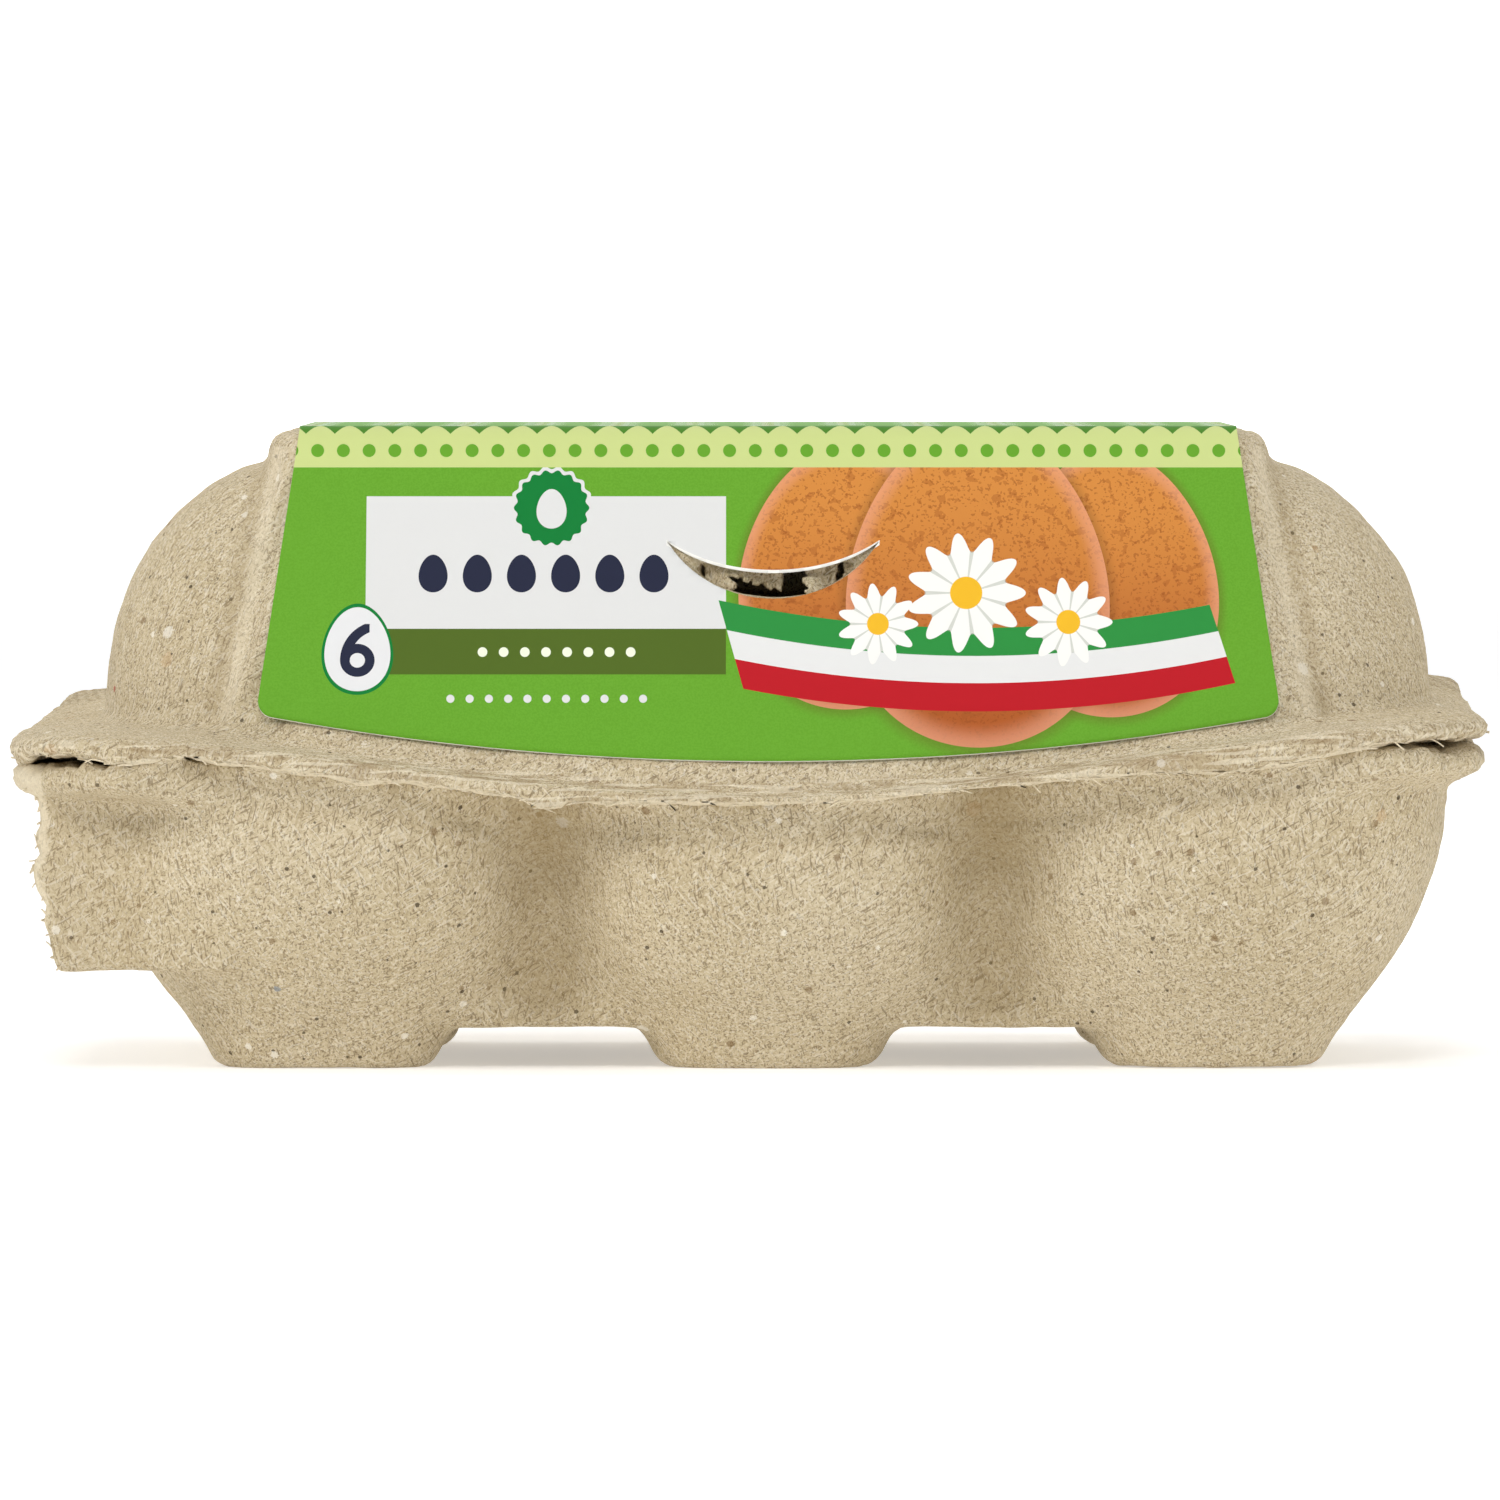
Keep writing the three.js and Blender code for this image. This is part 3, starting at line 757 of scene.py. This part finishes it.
# %% Values and finishes
class Value:
    """A number that varies over the surface."""

    def __init__(self, finish, socket):
        self.finish = finish
        self.socket = socket

    def maths(self, operation, *others):
        inputs = dict(enumerate((self, *others)))
        return self.finish.number("ShaderNodeMath", {"operation": operation}, inputs)

    def __add__(self, other):
        return self.maths("ADD", other)

    __radd__ = __add__

    def __sub__(self, other):
        return self.maths("SUBTRACT", other)

    def __rsub__(self, other):
        return self.finish.number("ShaderNodeMath", {"operation": "SUBTRACT"}, {0: other, 1: self})

    def __mul__(self, other):
        return self.maths("MULTIPLY", other)

    __rmul__ = __mul__

    def __truediv__(self, other):
        return self.maths("DIVIDE", other)

    def __pow__(self, other):
        return self.maths("POWER", other)

    def __abs__(self):
        return self.maths("ABSOLUTE")

    def __lt__(self, other):
        return self.maths("LESS_THAN", other)

    def __gt__(self, other):
        return self.maths("GREATER_THAN", other)

    def most(self, other):
        return self.maths("MAXIMUM", other)

    def between(self, low, high):
        return (self > low) * (self < high)

    def eased(self, low, high):
        inputs = {"Value": self, "From Min": low, "From Max": high}
        settings = {"interpolation_type": "SMOOTHSTEP"}
        return self.finish.number("ShaderNodeMapRange", settings, inputs)


class Finish:
    """A material and the ways to add nodes to it."""

    def __init__(self, name, **constants):
        self.material = bpy.data.materials.new(name)
        self.material.use_nodes = True
        self.tree = self.material.node_tree
        self.shader = self.tree.nodes["Principled BSDF"]
        for socket, value in constants.items():
            self.shader.inputs[socket.replace("_", " ")].default_value = value

    def node(self, kind, settings=(), inputs=()):
        made = self.tree.nodes.new(kind)
        for name, value in dict(settings).items():
            setattr(made, name, value)
        for name, value in dict(inputs).items():
            self.join(made.inputs[name], value)
        return made

    def join(self, socket, value):
        if isinstance(value, Value):
            value = value.socket
        if isinstance(value, bpy.types.NodeSocket):
            self.tree.links.new(value, socket)
        else:
            socket.default_value = value

    def number(self, kind, settings=(), inputs=(), output=0):
        return Value(self, self.node(kind, settings, inputs).outputs[output])

    def split(self, vector):
        parts = self.node("ShaderNodeSeparateXYZ", {}, {0: vector})
        return [Value(self, parts.outputs[k]) for k in range(3)]

    def mix(self, share, first, second):
        inputs = {0: share, 6: first, 7: second}
        return self.node("ShaderNodeMix", {"data_type": "RGBA"}, inputs).outputs[2]

    def noise(self, place, scale, detail=2.0, roughness=0.5):
        inputs = {"Vector": place, "Scale": scale, "Detail": detail, "Roughness": roughness}
        return self.number("ShaderNodeTexNoise", {}, inputs)

    def set(self, socket, value):
        self.join(self.shader.inputs[socket], value)


def paint(red, green, blue):
    """A colour as read from a screen, 0 to 255, in the linear numbers that a shader takes."""
    parts = [c / 255 for c in (red, green, blue)]
    return (*(c / 12.92 if c <= 0.04045 else ((c + 0.055) / 1.055) ** 2.4 for c in parts), 1)


# %% [markdown]
# ## Moulded pulp
#
# The pulp is made of old paper: a cream felt in which single fibres, flecks of bark, bits of white
# and coloured paper and black specks can be seen. A picture of pulp would repeat and smear on the
# slopes, so the felt is made of patterns in space. The peaks of a cloudy pattern that is stretched a
# good ten times one way are short straight fibres, and several such patterns, each turned another
# way, make a felt. A fleck is a spot in some of the cells of a Voronoi pattern.

# %% Places, fibres and flecks
def millimetres(finish):
    """The place on the object, in millimetres."""
    place = finish.node("ShaderNodeTexCoord").outputs["Object"]
    inputs = {0: place, "Scale": 1 / MM}
    return finish.node("ShaderNodeVectorMath", {"operation": "SCALE"}, inputs).outputs[0]


def moved(finish, place, offset):
    inputs = {0: place, 1: offset}
    return finish.node("ShaderNodeVectorMath", {"operation": "ADD"}, inputs).outputs[0]


def fibres(finish, place, turn, length, width, rare):
    """Short straight fibres of about this length and width in millimetres, all laid one way."""
    settings = {"vector_type": "TEXTURE"}
    inputs = {"Vector": place, "Rotation": turn, "Scale": (2.2 * length, 2.2 * width, 2.2 * width)}
    laid = finish.node("ShaderNodeMapping", settings, inputs).outputs[0]
    return finish.noise(laid, 1.0, 0.0).eased(rare, rare + 0.05)


def felt_of_fibres(finish, place, turns, length, width, rare):
    """Fibres laid in several directions, in space, so that every wall of the carton shows them."""
    felt = fibres(finish, place, turns[0], length, width, rare)
    for turn in turns[1:]:
        felt = felt.most(fibres(finish, place, turn, length, width, rare))
    return felt


def flecks(finish, place, offset, cell, rare, size):
    """Ragged spots of about `size` millimetres, in a share `rare` of the cells."""
    place = moved(finish, place, offset)
    cells = finish.node("ShaderNodeTexVoronoi", {}, {"Vector": place, "Scale": 1 / cell})
    distance = Value(finish, cells.outputs["Distance"])
    chance, girth, _ = finish.split(cells.outputs["Color"])
    ragged = (finish.noise(place, 3 / size, 1.0) - 0.5) * (1.4 * size / cell)
    reach = (girth + 0.4) * (size / cell)
    return (chance > 1 - rare) * (distance + ragged < reach)


# %% [markdown]
# Pulp looks different where it was torn, and some light and shade is painted on it too. The numbers
# that the points were given above tell the finish where that is: torn ends and the lip's last
# millimetre are pale and full of fibres, painted shade darkens the valleys and the turn of the lip into
# the lid's wall, and the ridge of the raised block gets a painted highlight and its foot painted shade.

# %% Kinds of flecks, torn edges and painted light
TURNS = [
    (0, 0, 0.5), (0.4, 0.9, 0.2), (0.2, 1.9, 0.5), (0.6, 2.6, 0.1), (1.2, 0.5, 1.4), (0.1, 1.3, 0.9),
]
FLECKS = [  # how far apart, how many of them, millimetres across, colour and strength
    (1.5, 0.26, 0.19, (64, 50, 36), 0.8),
    (2.8, 0.24, 0.34, (122, 94, 58), 0.6),
    (3.3, 0.24, 0.36, (240, 235, 222), 0.65),
    (7.0, 0.22, 0.6, (238, 234, 224), 0.5),
    (7.0, 0.15, 0.34, (172, 66, 62), 0.75),
    (5.5, 0.2, 0.4, (120, 136, 152), 0.6),
    (6.0, 0.25, 0.7, (186, 148, 102), 0.35),
]


def torn_fibres_and_painted_light(finish, place, colour, edge):
    """Paler where torn; painted shade in the valleys, the lip's turn and the block's foot; a painted
    highlight on its ridge.
    """
    torn = finish.number("ShaderNodeAttribute", {"attribute_name": edge}, output=2)
    rough = finish.noise(place, 0.8, 3.0) - 0.5
    if edge == "torn":
        # Painted shade in the tray's valleys and at its torn left end.
        valley_and_painted_shade = finish.number("ShaderNodeAttribute", {"attribute_name": "valley_and_painted_shade"}, output=2)
        colour = finish.mix(valley_and_painted_shade * 0.34, colour, paint(150, 129, 88))
        return finish.mix((torn + rough).eased(0.2, 0.7) * 0.55, colour, paint(226, 214, 188))
    x, y, z = finish.split(place)
    front = (abs(x - CENTRE_X) < 66) * (y < -20)
    # Painted shade along the turn of the lip into the lid's wall, broken into patches.
    crease_shade = 1 - abs(torn - 1.4 + rough * 1.6).eased(0.1, 0.5)
    crease_shade = crease_shade * finish.noise(place, 0.3, 2.0).eased(0.42, 0.6)
    colour = finish.mix(crease_shade * front * 0.4, colour, paint(146, 122, 84))
    lip = 1 - abs(torn - 0.6).eased(1.2, 2.2)
    layers = fibres(finish, place, (0, 0.06, 0), 3.0, 0.26, 0.5)
    colour = finish.mix(layers * lip * 0.3, colour, paint(140, 116, 80))
    layers = fibres(finish, moved(finish, place, (9, 4, 3)), (0, -0.05, 0), 3.6, 0.22, 0.56)
    colour = finish.mix(layers * lip * 0.4, colour, paint(232, 222, 198))
    edge_of_block = abs(x - CENTRE_X) - (64 - z) * 0.19 - 52 + rough * 0.8
    on_block = (z > 37) * (z < 65) * (abs(y) > 24)
    # A painted highlight along the ridge of the raised block.
    ridge_highlight = (1 - abs(edge_of_block + 0.7).eased(0.2, 1.3)) * on_block
    colour = finish.mix(ridge_highlight * 0.3, colour, paint(228, 216, 190))
    # Painted shade at the foot of the raised block.
    foot = (1 - abs(edge_of_block - 0.9).eased(0.2, 1.6)) * on_block
    colour = finish.mix(foot * 0.28, colour, paint(150, 130, 94))
    ragged = torn + rough * 0.9
    return finish.mix((1 - ragged.eased(-0.62, -0.4)) * front * 0.6, colour, paint(229, 217, 190))


# %% [markdown]
# Pulp is sucked on to a wire screen and dries there. At the two rear ends of the rim the screen's
# knitted pattern can still be seen, and the same pattern darkens these ends as painted shade. Two
# crossing sine waves, multiplied, give its rows of stitches.


# %% Mesh marks and painted shade
def screen_marks_and_painted_shade(finish, place):
    """The screen's print at the back ends of the rim, which also darkens those ends as painted shade.
    """
    x, y, z = finish.split(place)
    where = (y > 24) * (z > 33.5) * (abs(x - CENTRE_X) > 70.6)
    one = ((y + z * 1.2 + x * 0.6) * 3.6).maths("SINE")
    other = ((y - z * 1.2 - x * 0.6) * 3.6).maths("SINE")
    return (one * other).eased(-0.4, 0.6) * where


# %% [markdown]
# Now the felt is put together, from the broad tones to the single fibre: each layer is mixed over the
# one before. The same patterns feed a Bump node, so that the surface is as rough as it looks. Lid and
# tray need two materials, because each follows another edge.


# %% Pulp finish
def pulp_finish(name, edge):
    finish = Finish(name, Roughness=0.95, Specular_IOR_Level=0.15)
    place = millimetres(finish)
    grain = finish.noise(place, 3.4, 3.0, 0.7)
    felt = finish.noise(place, 1.1, 3.0, 0.62)
    broad = finish.noise(place, 0.06, 2.0)
    colour = finish.mix(broad.eased(0.35, 0.65), paint(199, 184, 152), paint(206, 192, 162))
    colour = finish.mix(felt.eased(0.42, 0.7) * 0.25, colour, paint(178, 160, 124))
    colour = finish.mix(grain.eased(0.5, 0.66) * 0.42, colour, paint(158, 139, 103))
    colour = finish.mix((1 - grain.eased(0.34, 0.48)) * 0.36, colour, paint(226, 216, 194))
    tan = felt_of_fibres(finish, place, TURNS[:3], 1.5, 0.13, 0.64)
    colour = finish.mix(tan * 0.26, colour, paint(148, 124, 88))
    dark = felt_of_fibres(finish, place, TURNS[2:], 0.9, 0.09, 0.69)
    colour = finish.mix(dark * 0.55, colour, paint(98, 76, 48))
    pale = felt_of_fibres(finish, place, TURNS[1:4], 1.1, 0.12, 0.68)
    colour = finish.mix(pale * 0.35, colour, paint(236, 229, 211))
    for number, (cell, rare, size, tint, strength) in enumerate(FLECKS):
        spot = flecks(finish, place, (13 * number, 5, 7 * number), cell, rare, size)
        colour = finish.mix(spot * strength, colour, paint(*tint))
    colour = torn_fibres_and_painted_light(finish, place, colour, edge)
    marks_and_painted_shade = screen_marks_and_painted_shade(finish, place)
    # The screen marks also darken the rear ends of the rim, as painted shade.
    finish.set("Base Color", finish.mix(marks_and_painted_shade * 0.4, colour, paint(132, 112, 78)))
    height = grain * 0.4 + felt * 0.4 + dark * 0.12 + tan * 0.08 - marks_and_painted_shade * 0.8
    bump = {"Height": height, "Strength": 0.44, "Distance": 0.22 * MM}
    finish.set("Normal", finish.node("ShaderNodeBump", {}, bump).outputs[0])
    return finish.material


# %% [markdown]
# A piece shows a material once it stands in the piece's list of materials. The tongue and the shreds
# are torn from the tray, so they share its pulp.


# %% Put the pulp on
def dress(piece, material):
    piece.data.materials.clear()
    piece.data.materials.append(material)


lid_pulp = pulp_finish("pulp_lid", "above_rim")
tray_pulp = pulp_finish("pulp_tray", "torn")
dress(lid, lid_pulp)
dress(tray, tray_pulp)
dress(tongue, tray_pulp)
dress(shreds, tray_pulp)

# %% [markdown]
# ## Printed paper
#
# The print is a fresh green ground with a pale band along the front edge, and fields of colour on it.
# An image could be wrapped round the paper, but shapes that are worked out stay sharp at any size.
# All of them come from the place along the paper in millimetres: `x` runs across from the middle, and
# `z` is the height on the front panel. A shape is a number that is below 1 inside its outline.

# %% Shapes of the print
def disc(x, z, centre, half):
    """0 in the middle of an ellipse and 1 on its outline."""
    across = (x - centre[0]) / half[0]
    up = (z - centre[1]) / half[1]
    return (across * across + up * up) ** 0.5


def egg(x, z, centre, half):
    """As a disc, but narrower towards the top."""
    up = (z - centre[1]) / half[1]
    across = (x - centre[0]) / (half[0] * (1 - 0.14 * up))
    return (across * across + up * up) ** 0.5


def repeat(value, pitch):
    """The distance from the middle of the nearest of a row of equal steps."""
    return ((value / pitch).maths("FRACT") - 0.5) * pitch


def box(x, z, left, right, low, high):
    return x.between(left, right) * z.between(low, high)


def daisy(finish, colour, x, z, centre, radius, where=1.0):
    across, up = x - centre[0], z - centre[1]
    reach = (across * across + up * up) ** 0.5 / radius
    petal = (up.maths("ARCTAN2", across) * 11).maths("COSINE")
    colour = finish.mix((reach < 0.84 + 0.16 * petal) * where, colour, paint(238, 237, 232))
    colour = finish.mix((petal < -0.86) * (reach < 0.7) * where * 0.5, colour, paint(160, 165, 150))
    return finish.mix((reach < 0.27) * where, colour, paint(233, 180, 38))


def brown_egg(finish, colour, place, x, z, centre, half):
    """A speckled brown egg, with the shadow that it throws on what is behind it."""
    shape = egg(x, z, centre, half)
    colour = finish.mix((1 - shape.eased(0.98, 1.1)) * 0.4, colour, paint(96, 60, 24))
    light = ((z - centre[1]) / half[1]).eased(-1, 0.7)
    shell = finish.mix(light, paint(166, 84, 34), paint(205, 133, 60))
    shell = finish.mix((finish.noise(place, 1.1, 2.0) > 0.6) * 0.4, shell, paint(150, 78, 28))
    shell = finish.mix((finish.noise(place, 3.0, 1.0) > 0.62) * 0.5, shell, paint(138, 70, 26))
    shell = finish.mix(shape.eased(0.84, 1.0) * 0.6, shell, paint(226, 158, 124))
    return finish.mix(shape < 1, colour, shell)


# %% [markdown]
# The front panel has a white panel with a row of six dark eggs, an olive strip, rows of dots, a
# scalloped seal, a badge with the number of eggs, and three brown eggs behind a striped band with
# daisies. They are mixed one over the other, from the ones behind to the ones in front. Last comes
# the thin pale line where the punch has bared the paper above the slot.

# %% Front of the print
PALE, GREEN, DEEP_GREEN = paint(196, 208, 134), paint(98, 158, 41), paint(6, 120, 50)
WHITE, OLIVE, NAVY = paint(216, 216, 214), paint(78, 101, 30), paint(34, 38, 60)
STRIPES = (
    (0, 2.9, paint(182, 20, 32)), (2.9, 5.7, paint(222, 222, 220)), (5.7, 8.6, paint(42, 138, 60)),
)
DAISIES = (((20.6, 49.6), 6.2), ((31.2, 46.6), 4.6), ((11.4, 46.4), 4.2))
BROWN_EGGS = (
    ((8.0, 51.2), (11.0, 13.6)), ((35.6, 50.6), (11.2, 13.8)), ((21.8, 50.5), (13.6, 16.8)),
)


def six(x, z):
    """The numeral: a ring, and a stroke that rises from its left side and leans right."""
    ring = disc(x, z, (0, -0.95), (1.8, 1.7))
    bowl = ring.between(0.44, 1)
    stroke = disc(x, z, (2.5, -0.95), (4.3, 4.1)).between(0.76, 1) * box(x, z, -2, 1.25, -0.95, 2.8)
    return bowl.most(stroke)


def slot_rim(x, z):
    """The sliver of bare paper just above the slot: how high the slot's upper curve is at x."""
    across = x - 0.5
    share = across * 0.0404 + across * across * across * 2.93e-5
    above = z - 51.875 - share * share * 12.9
    return above.between(-0.4, 0.1) * (abs(across) < 11.1)


def front_print(finish, colour, place, x, z):
    """The fields of colour on the front panel."""
    panel = box(x, z, -41.9, -4.4, 45.9, 59.6)
    colour = finish.mix(panel, colour, WHITE)
    row = box(x, z, -37.2, -9.6, 49, 55)
    dark_egg = egg(repeat(x + 37.2, 4.6), z, (0, 51.6), (1.5, 1.95)) < 1
    colour = finish.mix(row * dark_egg, colour, NAVY)
    colour = finish.mix(box(x, z, -39.6, -4.4, 41.2, 45.9), colour, OLIVE)
    dots = (disc(repeat(x + 22, 2.2), z, (0, 43.5), (0.5, 0.5)) < 1) * x.between(-30.8, -13.2)
    colour = finish.mix(dots, colour, paint(232, 238, 214))
    dots = (disc(repeat(x, 2.0), z, (0, 38.7), (0.42, 0.42)) < 1) * x.between(-34, -12)
    colour = finish.mix(dots, colour, WHITE)
    seal = disc(x, z, (-22.6, 58.4), (4.1, 4.1))
    turn = (z - 58.4).maths("ARCTAN2", x + 22.6)
    scallop = (turn * 18).maths("COSINE") * 0.04
    colour = finish.mix(seal - scallop < 1.02, colour, WHITE)
    colour = finish.mix(seal - scallop < 0.92, colour, DEEP_GREEN)
    colour = finish.mix(egg(x, z, (-22.6, 58.3), (1.55, 2.05)) < 1, colour, WHITE)
    badge = egg(x, z, (-42.7, 43.8), (3.7, 4.7))
    colour = finish.mix(badge < 1, colour, DEEP_GREEN)
    colour = finish.mix(badge < 0.92, colour, paint(222, 222, 222))
    colour = finish.mix(six(x + 42.7, z - 43.6), colour, NAVY)
    for centre, half in BROWN_EGGS:
        colour = brown_egg(finish, colour, place, x, z, centre, half)
    rise = z - 37.4 - 0.004 * (x - 21.5) * (x - 21.5)
    ends = (x + 0.3 * rise).between(-2.6, 48.5)
    for low, high, tint in STRIPES:
        colour = finish.mix(rise.between(low, high) * ends, colour, tint)
    for centre, radius in DAISIES:
        colour = daisy(finish, colour, x, z, centre, radius)
    return finish.mix(slot_rim(x, z), colour, paint(240, 238, 230))


# %% [markdown]
# The whole sheet gets its green ground, and the front its panel. Daisies grow on the top and the
# back. Along both folds runs the pale band, with a dark zigzag at the top and a row of dots.


# %% The whole print
MEADOW, SMALL_DAISY = 16, 2.8  # how far apart the small daisies are, and their radius
ZIGZAG, BAND_DOTS = 3.02, 2.69  # steps along the pale band


def printed_paper():
    finish = Finish("printed_paper", Roughness=0.55, Specular_IOR_Level=0.12)
    place = millimetres(finish)
    sheet = finish.node("ShaderNodeUVMap", {"uv_map": "paper"}).outputs[0]
    u, v, _ = finish.split(sheet)
    x = (u - 0.5) * SHEET_SPAN
    along = (v - 0.5) * SHEET_SPAN
    down = (0 - along).most(along - TOP_LENGTH)
    grain = finish.noise(place, 5.0, 1.0)
    colour = finish.mix(grain.eased(0.35, 0.65), paint(96, 156, 38), paint(102, 162, 44))
    front = front_print(finish, colour, place, x, along + HEIGHT)
    colour = finish.mix(along < 0, colour, front)
    meadow = (down < -4) + down.between(6, 22) * (along > TOP_LENGTH)
    for shift in (0, MEADOW / 2):
        across = repeat(x + shift, MEADOW)
        up = repeat(along + shift - TOP_LENGTH / 2 + MEADOW / 2, MEADOW)
        colour = daisy(finish, colour, across, up, (0, 0), SMALL_DAISY, meadow)
    zigzag = abs(repeat(x, ZIGZAG)) * 0.55
    colour = finish.mix(down.between(-1.5, 1.2), colour, paint(70, 128, 32))
    colour = finish.mix(down.between(-2, 4) * (down > zigzag), colour, PALE)
    dots = disc(repeat(x, BAND_DOTS), down, (0, 2.25), (0.68, 0.68)) < 1
    colour = finish.mix(dots, colour, GREEN)
    finish.set("Base Color", colour)
    fibre = {"Height": finish.noise(place, 1.6, 3.0), "Strength": 0.25, "Distance": 0.05 * MM}
    finish.set("Normal", finish.node("ShaderNodeBump", {}, fibre).outputs[0])
    return finish.material


# %% [markdown]
# Where paper is cut, its white core shows. The narrow faces along the label's edges and in the slot
# are found by their normal, which lies in the plane of the sheet, and get a second material.


# %% Bare edges
def bare_paper():
    finish = Finish("bare_paper", Roughness=0.8, Specular_IOR_Level=0.2)
    place = millimetres(finish)
    core = finish.mix(finish.noise(place, 2.0), paint(240, 238, 232), paint(224, 221, 212))
    finish.set("Base Color", core)
    return finish.material


dress(paper_label, printed_paper())
paper_label.data.materials.append(bare_paper())


def in_plane_of_sheet(middle, normal):
    """True for the narrow faces along the paper's edges."""
    side = Vector((0, math.copysign(math.cos(LEAN), middle[1]), math.sin(LEAN)))
    flat_top = abs(middle[1]) < ARC_MIDDLE[0]
    return abs(normal.dot(Vector((0, 0, 1)) if flat_top else side)) < 0.4


select_faces(paper_label, in_plane_of_sheet)
paper_label.active_material_index = 1
bpy.ops.object.material_slot_assign()
bpy.ops.object.mode_set(mode="OBJECT")

# %% [markdown]
# ## Floor
#
# The carton stands before a sheet of white studio paper. A floor and an upright backdrop that glow a
# little give the same even white, and leave a soft shadow under the feet.

# %% Floor
FLOOR_GLOW, BACKDROP_GLOW = 0.35, 1.0
bpy.ops.mesh.primitive_plane_add(size=8, location=(0, 0, 0))
floor = bpy.context.object
floor.name = "floor"
bpy.ops.mesh.primitive_plane_add(size=8, location=(0, 3.9, 3.9), rotation=(math.pi / 2, 0, 0))
backdrop = bpy.context.object
backdrop.name = "backdrop"
for piece, glow in ((floor, FLOOR_GLOW), (backdrop, BACKDROP_GLOW)):
    stage_finish = Finish(piece.name, Roughness=0.8, Emission_Strength=glow)
    stage_finish.set("Base Color", paint(243, 243, 243))
    stage_finish.set("Emission Color", (1, 1, 1, 1))
    dress(piece, stage_finish.material)

# %% [markdown]
# ## Pieces on the carton's body
#
# Each piece rides on the carton's one body, and the imported node that it replaces is hidden. Then
# the triangles of each piece are counted.

# %% Pieces and their nodes
for piece, node, slot in (
    (lid, "carton", "pulp"),
    (tray, "carton", "pulp"),
    (tongue, "carton", "pulp"),
    (shreds, "carton", "pulp"),
    (paper_label, "label", "printed_paper"),
):
    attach(piece, "root")
    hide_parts(node)

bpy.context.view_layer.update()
for piece in (lid, tray, tongue, shreds, paper_label):
    piece.data.calc_loop_triangles()
    print(piece.name, "has", len(piece.data.loop_triangles), "triangles")
